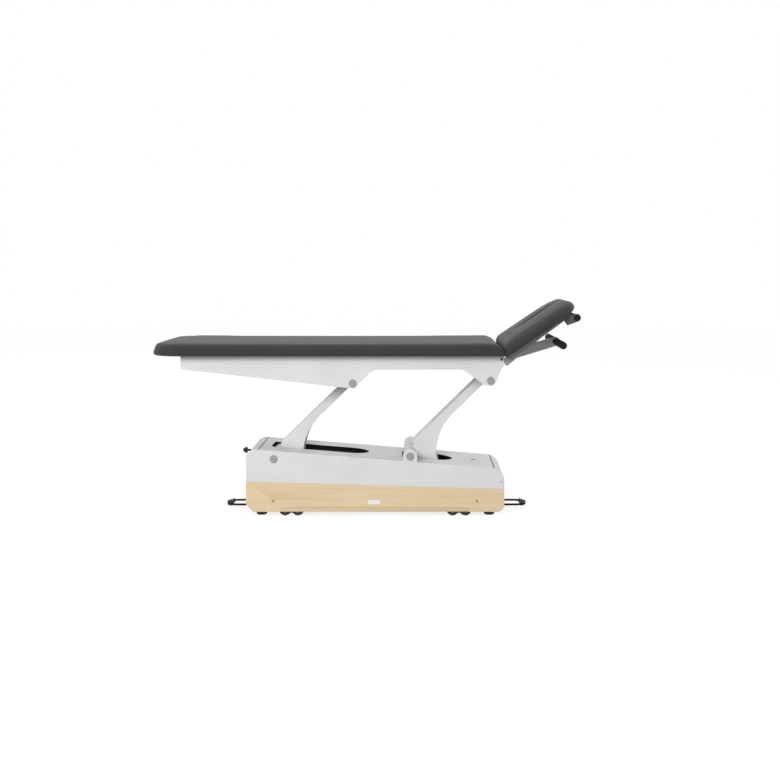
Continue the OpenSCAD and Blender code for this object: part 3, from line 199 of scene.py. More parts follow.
def startMaterial(name, colour, roughness, metallic=0.0, specular=0.5):
    material = bpy.data.materials.new(name)
    material.use_nodes = True
    tree = material.node_tree
    shader = tree.nodes["Principled BSDF"]
    shader.inputs["Base Color"].default_value = (*colour, 1)
    shader.inputs["Roughness"].default_value = roughness
    shader.inputs["Metallic"].default_value = metallic
    shader.inputs["Specular IOR Level"].default_value = specular
    return material, tree, shader


def objectPlace(tree, scale=(1, 1, 1)):
    place = addNode(tree, "ShaderNodeTexCoord")
    mapping = addNode(tree, "ShaderNodeMapping")
    mapping.inputs["Scale"].default_value = scale
    tree.links.new(place.outputs["Object"], mapping.inputs["Vector"])
    return mapping.outputs["Vector"]


def noise(tree, vector, scale, detail=2.0, rough=0.5, distortion=0.0):
    texture = addNode(tree, "ShaderNodeTexNoise", {
        "Scale": scale, "Detail": detail, "Roughness": rough, "Distortion": distortion})
    tree.links.new(vector, texture.inputs["Vector"])
    return texture.outputs["Fac"]


def remap(tree, value, low, high):
    node = addNode(tree, "ShaderNodeMapRange")
    node.inputs["From Min"].default_value = 0.3
    node.inputs["From Max"].default_value = 0.7
    node.inputs["To Min"].default_value = low
    node.inputs["To Max"].default_value = high
    tree.links.new(value, node.inputs["Value"])
    return node.outputs["Result"]


def mixColours(tree, factor, first, second):
    node = addNode(tree, "ShaderNodeMix", data_type="RGBA")
    for socket, colour in ((node.inputs[6], first), (node.inputs[7], second)):
        if isinstance(colour, (tuple, list)):
            socket.default_value = (*colour, 1)
        else:
            tree.links.new(colour, socket)
    tree.links.new(factor, node.inputs[0])
    return node.outputs[2]


def tinted(colour, share):
    return tuple(min(1.0, channel * share) for channel in colour)


def addBump(tree, shader, height, strength, distance, under=None):
    node = addNode(tree, "ShaderNodeBump", {"Strength": strength, "Distance": distance})
    tree.links.new(height, node.inputs["Height"])
    if under is not None:
        tree.links.new(under, node.inputs["Normal"])
    tree.links.new(node.outputs["Normal"], shader.inputs["Normal"])
    return node.outputs["Normal"]


# Powder coat: an even colour with faint clouds, and the fine ripple of baked paint.
def powderCoat(name, colour, roughness=0.42, clouds=0.04, ripple=0.00012, specular=0.5):
    material, tree, shader = startMaterial(name, colour, roughness, specular=specular)
    place = objectPlace(tree)
    cloud = remap(tree, noise(tree, place, 5.0, 3.0), 0.0, 1.0)
    tree.links.new(
        mixColours(tree, cloud, tinted(colour, 1 - clouds), tinted(colour, 1 + clouds)),
        shader.inputs["Base Color"])
    tree.links.new(
        remap(tree, noise(tree, place, 60.0), roughness - 0.04, roughness + 0.05),
        shader.inputs["Roughness"])
    addBump(tree, shader, noise(tree, place, 1300.0, 2.0), 0.35, ripple)
    return material


# Coated fabric: pebbled cells about a millimetre across over soft foam that is never quite flat.
def coatedFabric(name, colour):
    material, tree, shader = startMaterial(name, colour, 0.55, specular=0.25)
    place = objectPlace(tree)
    cells = addNode(tree, "ShaderNodeTexVoronoi", {"Scale": 900.0, "Randomness": 0.9},
                    feature="DISTANCE_TO_EDGE")
    tree.links.new(place, cells.inputs["Vector"])
    cloud = remap(tree, noise(tree, place, 9.0, 4.0), 0.0, 1.0)
    tree.links.new(
        mixColours(tree, cloud, tinted(colour, 0.9), tinted(colour, 1.12)),
        shader.inputs["Base Color"])
    tree.links.new(
        remap(tree, noise(tree, place, 240.0, 3.0), 0.50, 0.62), shader.inputs["Roughness"])
    soft = addBump(tree, shader, noise(tree, place, 22.0, 2.0), 0.25, 0.0012)
    pores = addBump(tree, shader, noise(tree, place, 2600.0, 2.0), 0.2, 0.0001, soft)
    addBump(tree, shader, cells.outputs["Distance"], 0.5, 0.00025, pores)
    shader.inputs["Sheen Weight"].default_value = 0.05
    shader.inputs["Sheen Roughness"].default_value = 0.5
    return material


birch = {
    "pale": (0.90, 0.735, 0.485), "warm": (0.83, 0.655, 0.405), "dark": (0.50, 0.34, 0.18),
    "figureAcross": 34.0, "figureAlong": 1.1,  # turns a metre
    "fibreAcross": 420.0, "fibreAlong": 9.0,
    "flecks": 0.22, "plyLines": 0.45, "plyThickness": 0.0015,  # metres
}


# Birch plywood: long pale grain along one axis, and the plies as stripes across another, which
# show only on the cut edges because a broad face lies in one ply.
def birchPlywood(name, grainAxis, plyAxis, facePhase=0.0):
    pale, warm, dark = birch["pale"], birch["warm"], birch["dark"]
    material, tree, shader = startMaterial(name, pale, 0.42)
    stretch = [birch["figureAcross"]] * 3
    stretch[grainAxis] = birch["figureAlong"]
    figure = noise(tree, objectPlace(tree, stretch), 1.0, 5.0, 0.55, 0.6)
    fine = [birch["fibreAcross"]] * 3
    fine[grainAxis] = birch["fibreAlong"]
    fibre = noise(tree, objectPlace(tree, fine), 1.0, 3.0)
    colour = mixColours(tree, remap(tree, figure, 0.0, 1.0), pale, warm)
    colour = mixColours(tree, remap(tree, fibre, 0.0, birch["flecks"]), colour, dark)
    parts = addNode(tree, "ShaderNodeSeparateXYZ")
    tree.links.new(objectPlace(tree), parts.inputs[0])
    turns = addNode(tree, "ShaderNodeMath", operation="MULTIPLY_ADD")
    tree.links.new(parts.outputs[plyAxis], turns.inputs[0])
    turns.inputs[1].default_value = math.pi / birch["plyThickness"]
    turns.inputs[2].default_value = facePhase
    wave = addNode(tree, "ShaderNodeMath", operation="SINE")
    tree.links.new(turns.outputs[0], wave.inputs[0])
    layers = addNode(tree, "ShaderNodeMapRange")
    layers.inputs["From Min"].default_value = -0.25
    layers.inputs["From Max"].default_value = 0.25
    layers.inputs["To Min"].default_value = birch["plyLines"]
    layers.inputs["To Max"].default_value = 0.0
    tree.links.new(wave.outputs[0], layers.inputs["Value"])
    tree.links.new(mixColours(tree, layers.outputs["Result"], colour, dark),
                   shader.inputs["Base Color"])
    tree.links.new(remap(tree, fibre, 0.36, 0.5), shader.inputs["Roughness"])
    addBump(tree, shader, fibre, 0.3, 0.0002)
    return material


# Turned or drawn steel: hairlines round the shaft, which lies along Y or along the part.
def turnedSteel(name, colour=(0.58, 0.59, 0.60), roughness=0.32):
    material, tree, shader = startMaterial(name, colour, roughness, metallic=1.0)
    lines = noise(tree, objectPlace(tree, (40.0, 1600.0, 40.0)), 1.0, 2.0)
    tree.links.new(
        remap(tree, lines, roughness - 0.08, roughness + 0.1), shader.inputs["Roughness"])
    tree.links.new(
        mixColours(tree, remap(tree, noise(tree, objectPlace(tree), 30.0), 0.0, 1.0),
                   tinted(colour, 0.93), tinted(colour, 1.05)),
        shader.inputs["Base Color"])
    addBump(tree, shader, lines, 0.15, 0.00005)
    return material


# Satin grey finish of the caps, with a bead-blasted grain.
def blastedMetal(name, colour=(0.36, 0.36, 0.364), roughness=0.38):
    material, tree, shader = startMaterial(name, colour, roughness, metallic=0.15)
    place = objectPlace(tree)
    tree.links.new(
        mixColours(tree, remap(tree, noise(tree, place, 160.0, 3.0), 0.0, 1.0),
                   tinted(colour, 0.88), tinted(colour, 1.1)),
        shader.inputs["Base Color"])
    tree.links.new(
        remap(tree, noise(tree, place, 700.0), roughness - 0.05, roughness + 0.1),
        shader.inputs["Roughness"])
    addBump(tree, shader, noise(tree, place, 2200.0), 0.3, 0.0001)
    return material


# Moulded rubber or plastic: a fine spark-eroded grain and scuffs that dull the gloss.
def moulded(name, colour, roughness=0.55, grain=900.0, depth=0.00015):
    material, tree, shader = startMaterial(name, colour, roughness)
    place = objectPlace(tree)
    tree.links.new(
        mixColours(tree, remap(tree, noise(tree, place, 45.0, 4.0), 0.0, 1.0),
                   tinted(colour, 0.85), tinted(colour, 1.25)),
        shader.inputs["Base Color"])
    tree.links.new(
        remap(tree, noise(tree, place, 90.0, 3.0), roughness - 0.08, roughness + 0.12),
        shader.inputs["Roughness"])
    addBump(tree, shader, noise(tree, place, grain, 2.0), 0.35, depth)
    return material


# Closed-cell foam: round cells half a millimetre across with thin walls, fully matt.
def closedFoam(name, colour):
    material, tree, shader = startMaterial(name, colour, 0.85, specular=0.3)
    place = objectPlace(tree)
    cells = addNode(tree, "ShaderNodeTexVoronoi", {"Scale": 1500.0, "Randomness": 1.0})
    tree.links.new(place, cells.inputs["Vector"])
    tree.links.new(
        mixColours(tree, remap(tree, noise(tree, place, 60.0, 3.0), 0.0, 1.0),
                   tinted(colour, 0.8), tinted(colour, 1.3)),
        shader.inputs["Base Color"])
    addBump(tree, shader, cells.outputs["Distance"], 0.7, 0.0003)
    return material


whitePaint = powderCoat("whitePowderCoat", (0.78, 0.78, 0.785))
# Near-black paint for the hood's inside faces: painted shade, for the dark that the closed hood holds
insideShadePaint = powderCoat("insidePaintedShade", (0.05, 0.05, 0.052), 0.6)
blackPaint = powderCoat("blackPowderCoat", (0.022, 0.022, 0.023), 0.38)
pedalPaint = powderCoat("pedalBlackPaint", (0.010, 0.010, 0.010), 0.6, specular=0.2)
inlayPaint = powderCoat("inlayWhitePaint", (0.92, 0.92, 0.925), 0.35)
# Head tray: its light grey darkened as painted shade of the head pad above it
trayShadeGrey = powderCoat("trayPaintedShadeGrey", (0.30, 0.305, 0.31))
leverPaint = powderCoat("leverGreyPaint", (0.62, 0.62, 0.622), 0.45)
# Head end brackets: a near-black grey that is painted shade, for the shadow they lie in under the head section
bracketShadeGrey = powderCoat("bracketPaintedShadeGrey", (0.07, 0.07, 0.068), 0.45)
springPaint = powderCoat("springBlackPaint", (0.02, 0.02, 0.02), 0.25)
upholstery = coatedFabric("darkGreyCoatedFabric", (0.035, 0.035, 0.0354))
sideBirch = birchPlywood("birchAlong", 0, 1, facePhase=math.pi / 2)
endBirch = birchPlywood("birchAcross", 1, 0)
flatBirch = birchPlywood("birchFlat", 0, 2)
# Near-black board under the pads: painted shade under the pads' edges and in the joint between them
shadeBoard = moulded("blackBoardPaintedShade", (0.025, 0.025, 0.025), 0.7, 300.0, 0.0003)
plugPlastic = moulded("tanPlastic", (0.40, 0.33, 0.24), 0.5)
shaftSteel = turnedSteel("turnedSteel")
capMetal = blastedMetal("satinCap")
greyPlastic = moulded("greyPlastic", (0.16, 0.16, 0.165), 0.5)
blackPlastic = moulded("blackPlastic", (0.02, 0.02, 0.021), 0.45)
blackRubber = moulded("blackRubber", (0.016, 0.016, 0.016), 0.6, 700.0, 0.0002)
tyreRubber = moulded("wheelRubber", (0.02, 0.02, 0.02), 0.62, 800.0, 0.0002)
foamSleeve = closedFoam("foamSleeve", (0.012, 0.012, 0.012))
print("materials ready")

nodeFinish = {
    "wood_side_near": sideBirch, "wood_side_far": sideBirch, "wood_end_foot": endBirch,
    "wood_end_head": endBirch, "bottom_board": flatBirch, "main_board": shadeBoard,
    "head_board": shadeBoard, "base_chassis": blackPaint, "side_plate_near": whitePaint,
    "side_plate_far": whitePaint, "top_cover": whitePaint, "end_cap_foot": whitePaint,
    "end_cap_head": whitePaint, "lower_pivot_shafts": shaftSteel,
    "lower_pivot_caps": capMetal, "lower_pivot_washers": greyPlastic,
    "actuator_rear_pin": shaftSteel, "control_box": greyPlastic, "cord_gland": blackPlastic,
    "hanging_knob": blackRubber, "side_inlay": inlayPaint, "base_screws": plugPlastic,
    "levelling_feet": blackRubber, "pedal_bearings": greyPlastic, "lock_switch": capMetal,
    "foot_arm_channel": whitePaint, "foot_arm_hubs": whitePaint,
    "foot_arm_bushes": greyPlastic, "head_arm_channel": whitePaint,
    "head_arm_hubs": whitePaint, "head_arm_bushes": greyPlastic, "crank_pin": shaftSteel,
    "actuator_gearbox": blackPlastic, "actuator_motor": blackPlastic,
    "actuator_tube": leverPaint, "actuator_rod": shaftSteel, "frame_side_near": whitePaint,
    "frame_side_far": whitePaint, "frame_cross_members": whitePaint,
    "upper_pivot_shafts": shaftSteel, "upper_pivot_caps": capMetal,
    "upper_pivot_washers": greyPlastic, "main_cushion": upholstery,
    "head_hinge_pins": blackPaint, "gas_spring_cylinder": springPaint,
    "gas_spring_rod": shaftSteel, "head_tray": trayShadeGrey, "head_cushion": upholstery,
    "head_end_brackets": bracketShadeGrey, "head_end_bar": foamSleeve, "lever_pins": shaftSteel,
    "release_lever": leverPaint, "lever_grips": foamSleeve, "pedal_foot": pedalPaint,
    "pedal_head": pedalPaint, "wheels_foot_outer": tyreRubber,
    "wheels_foot_inner": tyreRubber, "wheels_head_inner": tyreRubber,
    "wheels_head_outer": tyreRubber,
}


def paintNodes(finishes):
    for name, material in finishes.items():
        piece = nodes[name]
        if not piece.material_slots:
            piece.data.materials.append(material)
        for place in piece.material_slots:
            place.material = material


paintNodes(nodeFinish)
print("nodes painted:", len(nodeFinish))


# Pieces that take over a node: its body comes from the record

bodyOf = {name: body for body, names in frame["record"]["behaviour"]["bodies"].items()
          for name in names}


def takeOver(piece, node):
    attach(piece, bodyOf[node])
    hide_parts(node)


def newPiece(name, points, faces, *materials):
    mesh = bpy.data.meshes.new(name)
    mesh.from_pydata(points.reshape(-1, 3), [], faces.tolist())
    for material in materials:
        mesh.materials.append(material)
    piece = bpy.data.objects.new(name, mesh)
    scene.collection.objects.link(piece)
    return piece


# Faces of a grid of rows by columns; a closed direction joins its last line to its first.
def gridFaces(rows, columns, closedRows=False, closedColumns=True):
    row = np.arange(rows if closedRows else rows - 1)
    column = np.arange(columns if closedColumns else columns - 1)
    r, c = (grid.ravel() for grid in np.meshgrid(row, column, indexing="ij"))
    r2, c2 = (r + 1) % rows, (c + 1) % columns
    return np.stack([r * columns + c, r * columns + c2, r2 * columns + c2, r2 * columns + c], 1)


def mergePoints(piece, distance=1e-6):
    work = bmesh.new()
    work.from_mesh(piece.data)
    bmesh.ops.remove_doubles(work, verts=work.verts, dist=distance)
    bmesh.ops.recalc_face_normals(work, faces=work.faces)
    work.to_mesh(piece.data)
    work.free()


def smooth(piece, angle=35.0):
    piece.data.shade_smooth()
    piece.data.set_sharp_from_angle(angle=math.radians(angle))


# Sheet and board pieces get the broken edges that the shop gives them

edgeRounding = {  # metres
    "wood_side_near": 0.0018, "wood_side_far": 0.0018, "wood_end_foot": 0.0012,
    "wood_end_head": 0.0012, "bottom_board": 0.0012, "top_cover": 0.0006,
    "end_cap_foot": 0.0006, "end_cap_head": 0.0006, "side_plate_near": 0.0008,
    "side_plate_far": 0.0008, "foot_arm_channel": 0.0014, "head_arm_channel": 0.0014,
    "frame_side_near": 0.0010, "frame_side_far": 0.0010, "frame_cross_members": 0.0008,
    "head_tray": 0.0008, "head_end_brackets": 0.0010, "release_lever": 0.0012,
    "control_box": 0.0015, "actuator_gearbox": 0.0015, "base_chassis": 0.0008,
}
plateShoulder = {"radius": 0.0045, "segments": 4, "boreKeepOut": 0.020, "outer": 0.1945}
mending = {"merge": 1e-5, "flat": 0.5, "edgeAngle": 40, "segments": 2}  # metres, degrees


# Copy of a node's mesh with its loose triangles merged and its flat faces made whole.
def cleanCopy(node):
    source = nodes[node]
    mesh = source.data.copy()
    piece = bpy.data.objects.new(node + "Edged", mesh)
    scene.collection.objects.link(piece)
    work = bmesh.new()
    work.from_mesh(mesh)
    bmesh.ops.remove_doubles(work, verts=work.verts, dist=mending["merge"])
    bmesh.ops.dissolve_limit(
        work, angle_limit=math.radians(mending["flat"]), verts=work.verts, edges=work.edges)
    work.to_mesh(mesh)
    work.free()
    return piece


# Weight 1 on the outer edges of a hood plate that aren't at its foot or round a bore.
def weighShoulder(mesh, values):
    places = [jointPlace["lift"], jointPlace["head_arm_swing"]]
    weights = mesh.attributes.new("bevel_weight_edge", "FLOAT", "EDGE")
    work = bmesh.new()
    work.from_mesh(mesh)
    work.edges.ensure_lookup_table()
    chosen = []
    for edge in work.edges:
        middle = (edge.verts[0].co + edge.verts[1].co) / 2
        outer = all(abs(v.co.y) > values["outer"] for v in edge.verts)
        low = any(f.normal.z < -0.5 for f in edge.link_faces)
        nearBore = any(math.hypot(middle.x - p.x, middle.z - p.z) < values["boreKeepOut"]
                       for p in places)
        side = any(abs(f.normal.y) < 0.5 for f in edge.link_faces)
        chosen.append(1.0 if outer and side and not low and not nearBore else 0.0)
    weights.data.foreach_set("value", chosen)
    work.free()


hoodTop = {"foot": 0.3165, "head": 0.2204, "length": 1.214}  # underside of the cover


def insideFaces(work):
    return [face for face in work.faces if abs(face.normal.y) > 0.9
            and face.normal.y * face.calc_center_median().y < 0]


# Cuts a plate's inner faces along the cover's underside without parting them. They are made
# convex first, because a concave face isn't cut cleanly.
def splitAtHood(mesh, values):
    slope = (values["foot"] - values["head"]) / values["length"]
    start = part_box("side_plate_near")[0].x
    work = bmesh.new()
    work.from_mesh(mesh)
    bmesh.ops.connect_verts_concave(work, faces=insideFaces(work))
    faces = insideFaces(work)
    edges = {edge for face in faces for edge in face.edges}
    verts = {vert for face in faces for vert in face.verts}
    bmesh.ops.bisect_plane(
        work, geom=[*verts, *edges, *faces],
        plane_co=(start, 0, values["foot"]), plane_no=(slope, 0, 1))
    work.to_mesh(mesh)
    work.free()


def roundEdges(node, width):
    piece = cleanCopy(node)
    if node.startswith("side_plate"):
        splitAtHood(piece.data, hoodTop)
        weighShoulder(piece.data, plateShoulder)
        shoulder = piece.modifiers.new("shoulder", "BEVEL")
        shoulder.limit_method = "WEIGHT"
        shoulder.width = plateShoulder["radius"]
        shoulder.segments = plateShoulder["segments"]
        shoulder.use_clamp_overlap = False
    smooth(piece)
    bevel = piece.modifiers.new("brokenEdges", "BEVEL")
    bevel.limit_method = "ANGLE"
    bevel.angle_limit = math.radians(mending["edgeAngle"])
    bevel.width = width
    bevel.segments = mending["segments"]
    bevel.use_clamp_overlap = False
    bevel.harden_normals = True
    piece.data.materials.clear()
    piece.data.materials.append(nodeFinish[node])
    takeOver(piece, node)
    return piece


edged = {node: roundEdges(node, width) for node, width in edgeRounding.items()}
print("edges rounded:", len(edged))


# The inside of the hood is painted near-black: painted shade for the dark inside the closed hood
def paintInsideShade(piece, isInside):
    mesh = piece.data
    mesh.materials.append(insideShadePaint)
    count = len(mesh.polygons)
    normals = np.zeros(count * 3)
    centres = np.zeros(count * 3)
    mesh.polygons.foreach_get("normal", normals)
    mesh.polygons.foreach_get("center", centres)
    inside = isInside(normals.reshape(-1, 3), centres.reshape(-1, 3))
    mesh.polygons.foreach_set("material_index", inside.astype(np.int32))


def underHood(centre):
    along = centre[:, 0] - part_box("side_plate_near")[0].x
    slope = (hoodTop["foot"] - hoodTop["head"]) / hoodTop["length"]
    return centre[:, 2] < hoodTop["foot"] - slope * along


for plate, side in (("side_plate_near", 1), ("side_plate_far", -1)):
    paintInsideShade(edged[plate], lambda normal, centre, side=side:
                (normal[:, 1] * side > 0.5) & underHood(centre))
paintInsideShade(edged["top_cover"], lambda normal, centre: normal[:, 2] < -0.5)
paintInsideShade(edged["end_cap_foot"], lambda normal, centre: normal[:, 0] > 0.2)
paintInsideShade(edged["end_cap_head"], lambda normal, centre: normal[:, 0] < -0.2)
# the hood's inside faces now carry the painted shade
print("hood primed inside")


# Cushions

hinge = jointPlace["head_tilt"]
sectionTilt = math.radians(34)

mainPad = {
    "foot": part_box("main_cushion")[0].x, "head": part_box("main_cushion")[1].x,
    "half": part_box("main_cushion")[1].y, "thickness": 0.057, "crown": 0.0025,
    "footCorner": 0.130, "headCorner": 0.018, "footRoll": 0.016, "headRoll": 0.042,
    "sideRoll": 0.036, "sideLow": 0.017, "footLow": 0.017, "headLow": 0.003,
    "footLean": 0.015, "headLean": 0.018,
    "drawIn": 0.003, "plyInset": 0.0347, "plyFoot": 0.0347, "plyHead": 0.0177,
    "plyDepth": 0.0123, "slot": None, "puffed": False,
    "cornerCount": 20, "endCount": 44, "sideCount": 150,
}
headPad = {
    "foot": 0.025, "head": 0.429, "half": mainPad["half"], "thickness": 0.057,
    "crown": 0.008, "footCorner": 0.018, "headCorner": 0.185, "footRoll": 0.028,
    "headRoll": 0.038, "sideRoll": 0.048, "sideLow": 0.032, "footLow": 0.003,
    "headLow": 0.017, "footLean": 0.014, "headLean": 0.0,
    "drawIn": 0.003, "plyInset": 0.0347, "plyFoot": 0.0137, "plyHead": 0.0347,
    "plyDepth": 0.0123, "puffed": True,
    "slot": {"start": 0.131, "length": 0.229, "width": 0.050, "lip": 0.010},
    "cornerCount": 24, "endCount": 64, "sideCount": 56,
}


endCrowding = 0.75  # how far an end's points crowd towards its middle, as a share
cornerLoss = 0.9  # radius that a corner loses for each metre that its ring comes in
leastCorner = 0.003
ridgeMargin = 0.9  # end of a plain pad's middle line, as a share of the half width


# Outline of a pad seen from above, for many rings at once: straight sides with round corners,
# where each ring has its own ends, half width and corner radii. The sides are drawn in by a
# half sine wave. The result is rings by points by 2.
def padOutline(pad, ends, half, corners, draw):
    counts = [pad["cornerCount"], pad["endCount"], pad["cornerCount"], pad["sideCount"]] * 2
    part = np.repeat(np.arange(8), counts)
    share = np.concatenate([np.arange(n) / n for n in counts])
    end = part % 4 == 1
    crowded = share + endCrowding * np.sin(2 * np.pi * share) / (2 * np.pi)
    share = np.where(end, crowded, share)
    x0, x1 = (value[:, None] for value in ends)
    r0, r1 = (value[:, None] for value in corners)
    h = half[:, None]
    near, far = -h, h
    wave = draw[:, None] * np.sin(np.pi * share)[None, :]
    turn = np.pi / 2 * share[None, :]
    arcs = [  # centre x, centre y, radius, start angle
        (x1 - r1, near + r1, r1, -np.pi / 2), (x1 - r1, far - r1, r1, 0.0),
        (x0 + r0, far - r0, r0, np.pi / 2), (x0 + r0, near + r0, r0, np.pi)]
    lines = [
        (x1, near + r1, x1, far - r1, 0, 0), (x1 - r1, far, x0 + r0, far, 0, -1),
        (x0, far - r0, x0, near + r0, 0, 0), (x0 + r0, near, x1 - r1, near, 0, 1)]
    x = np.zeros((len(half), len(part)))
    y = np.zeros_like(x)
    for k in range(4):
        cx, cy, r, start = arcs[k]
        here = part == 2 * k
        x = np.where(here, cx + r * np.cos(start + turn), x)
        y = np.where(here, cy + r * np.sin(start + turn), y)
        ax, ay, bx, by, dx, dy = lines[k]
        here = part == 2 * k + 1
        x = np.where(here, ax + (bx - ax) * share + dx * wave, x)
        y = np.where(here, ay + (by - ay) * share + dy * wave, y)
    return np.stack([x, y], 2), part, share


# How far a rolled upper edge of radius r has come in at height z under the top.
def rollInset(z, top, r):
    over = np.clip(z - top + r, 0, r)
    return r - np.sqrt(np.maximum(0, r * r - over * over))


# The same for a puffed edge, which leans in evenly with its height up to a share of a right
# angle: the inset is minus r times 2 / pi times the logarithm of the lean's cosine.
def puffInset(z, top, r, share=0.93):
    lean = np.clip(z - top + r, 0, r) / r * share * np.pi / 2
    return -r * 2 / np.pi * np.log(np.cos(lean))


# How far a rounded lower edge of radius r has come in at height z.
def lowerInset(z, r):
    under = np.clip(r - z, 0, r)
    return r - np.sqrt(r * r - under * under)


# Where the innermost ring lies: on the slot's edge, or on the pad's middle line without one.
def innerOutline(pad, outer, grow):
    if pad["slot"] is None:
        margin = pad["half"] * ridgeMargin
        x = np.clip(outer[..., 0], pad["foot"] + margin, pad["head"] - margin)
        return np.stack([x, np.zeros_like(x)], -1)
    slot = pad["slot"]
    length = slot["length"] / 2 + grow
    width = slot["width"] / 2 + grow
    radius = (length ** 2 + width ** 2) / (2 * width)
    middle = slot["start"] + slot["length"] / 2
    angle = np.arctan2(outer[..., 1], outer[..., 0] - middle)
    k = np.abs(np.sin(angle)) * (radius - width)
    reach = -k + np.sqrt(k * k + radius ** 2 - (radius - width) ** 2)
    return np.stack([middle + reach * np.cos(angle), reach * np.sin(angle)], -1)


# Rings of a pad from the middle of its underside round to the middle of its top. Each has a
# share s of the way from the outline to the inner ring, the outline's insets and a height z.
underRings = {"board": 6, "edge": 1, "lower": 8}


def padRings(pad):
    t = pad["thickness"]
    low = pad["sideLow"]
    rows = []  # share, side inset, foot inset, head inset, height, growth of the slot
    for s in np.linspace(1, 0, underRings["board"]):
        rows.append((s, pad["plyInset"], pad["plyFoot"], pad["plyHead"], pad["plyDepth"], 0))
    rows.append((0, pad["plyInset"], pad["plyFoot"], pad["plyHead"], 0, 0))
    for a in np.linspace(0, np.pi / 2, underRings["lower"]):
        rows.append((0, 0, 0, 0, low * (1 - math.cos(a)), 0))
    for a in np.linspace(0, np.pi / 2, 12):
        rows.append((0, 0, 0, 0, t - pad["sideRoll"] * (1 - math.sin(a)), 0))
    lip = pad["slot"]["lip"] if pad["slot"] else 0
    for s in np.array([0.03, 0.07, 0.12, 0.19, 0.27, 0.36, 0.46, 0.57, 0.68, 0.79, 0.89, 0.96, 1]):
        rows.append((s, 0, 0, 0, t + pad["crown"] * (1 - (1 - s) ** 2), lip))
    if pad["slot"]:
        top = t + pad["crown"]
        for a in np.linspace(0, np.pi / 2, 7)[1:]:
            rows.append((1, 0, 0, 0, top - lip * (1 - math.cos(a)), lip * (1 - math.sin(a))))
        for z in np.linspace(top - lip, pad["plyDepth"], 5)[1:]:
            rows.append((1, 0, 0, 0, z, 0))
    return np.array(rows)


# A pad as a grid of rings: each ring is its outline, leaned and rolled at the ends, moved a
# share of the way to the inner outline.
def padSurface(pad):
    rings = padRings(pad)
    s, side, foot, head, z, grow = rings.T
    t = pad["thickness"]
    level = np.minimum(z, t)
    face = np.arange(len(z)) >= underRings["board"] + underRings["edge"]
    edge = puffInset if pad["puffed"] else rollInset
    sideIn = side + face * (edge(level, t, pad["sideRoll"]) + lowerInset(z, pad["sideLow"]))
    footIn = foot + face * (rollInset(level, t, pad["footRoll"]) + lowerInset(z, pad["footLow"])
                            + pad["footLean"] * level / t)
    headIn = head + face * (rollInset(level, t, pad["headRoll"]) + lowerInset(z, pad["headLow"])
                            + pad["headLean"] * level / t)
    half = pad["half"] - sideIn
    ends = (pad["foot"] + footIn, pad["head"] - headIn)
    corners = (np.maximum(pad["footCorner"] - sideIn * cornerLoss, leastCorner),
               np.maximum(pad["headCorner"] - sideIn * cornerLoss, leastCorner))
    draw = pad["drawIn"] * (1 - np.clip(sideIn / pad["half"], 0, 1))
    outer, part, share = padOutline(pad, ends, half, corners, draw)
    inner = innerOutline(pad, outer, grow[:, None])
    flat = outer + (inner - outer) * s[:, None, None]
    height = np.broadcast_to(z[:, None], flat.shape[:2])
    return np.concatenate([flat, height[..., None]], 2), rings, part, share


coverPlay = {  # metres
    "fold": 0.0011, "foldHeight": 0.014, "foldFade": 0.013, "sway": 0.0012,
    "waves": 7, "shortest": 0.16, "longest": 0.6, "topFrom": 0.03, "topShare": 0.8,
}


# The cover gathers at the corners, where it is pulled round under the board: short folds that
# fade upwards, and slow waves along the sides from foam that isn't cut quite straight.
def loosenCover(points, rings, part, share, seed, values):
    random = np.random.default_rng(seed)
    z = points[..., 2]
    below = sum(underRings.values())
    side = (rings[:, 0] == 0) & (np.arange(len(rings)) >= below - 1)
    outward = np.zeros_like(points)
    middle = points[..., :2].mean(axis=1, keepdims=True)
    ahead = np.roll(points, -1, axis=1) - np.roll(points, 1, axis=1)
    outward[..., 0], outward[..., 1] = ahead[..., 1], -ahead[..., 0]
    length = np.linalg.norm(outward, axis=2, keepdims=True)
    outward = np.divide(outward, length, out=np.zeros_like(outward), where=length > 1e-9)
    facing = np.sign((outward[..., :2] * (points[..., :2] - middle)).sum(2, keepdims=True))
    corner = (part % 2 == 0)[None, :]
    fade = np.exp(-((z - values["foldHeight"]) / values["foldFade"]) ** 2)
    folds = values["fold"] * np.sin(share * np.pi * 13 + 2) * np.sin(share * np.pi)
    folds = folds * corner * fade
    waves = np.zeros(z.shape)
    for k in range(values["waves"]):
        pitch = random.uniform(values["shortest"], values["longest"])
        angle = random.uniform(-0.4, 0.4)
        phase = random.uniform(0, 2 * np.pi)
        along = points[..., 0] * np.cos(angle) + points[..., 1] * np.sin(angle)
        turns = 2 * np.pi * along / pitch + phase + z * random.uniform(10, 40)
        waves += np.sin(turns) / values["waves"]
    move = (folds + values["sway"] * waves) * side[:, None]
    points += outward * facing * move[..., None]
    top = rings[:, 0] > 0
    upper = (top & (z[:, 0] > values["topFrom"]))[:, None]
    points[..., 2] += values["sway"] * waves * upper * values["topShare"]
    return points


coverFill = {
    "pressure": 3.0, "frames": 16, "quality": 4, "mass": 0.4, "stretch": 30, "shear": 20,
    "bend": 2.0, "cap": 0.0022, "heldUnder": 0.02,  # metres
}


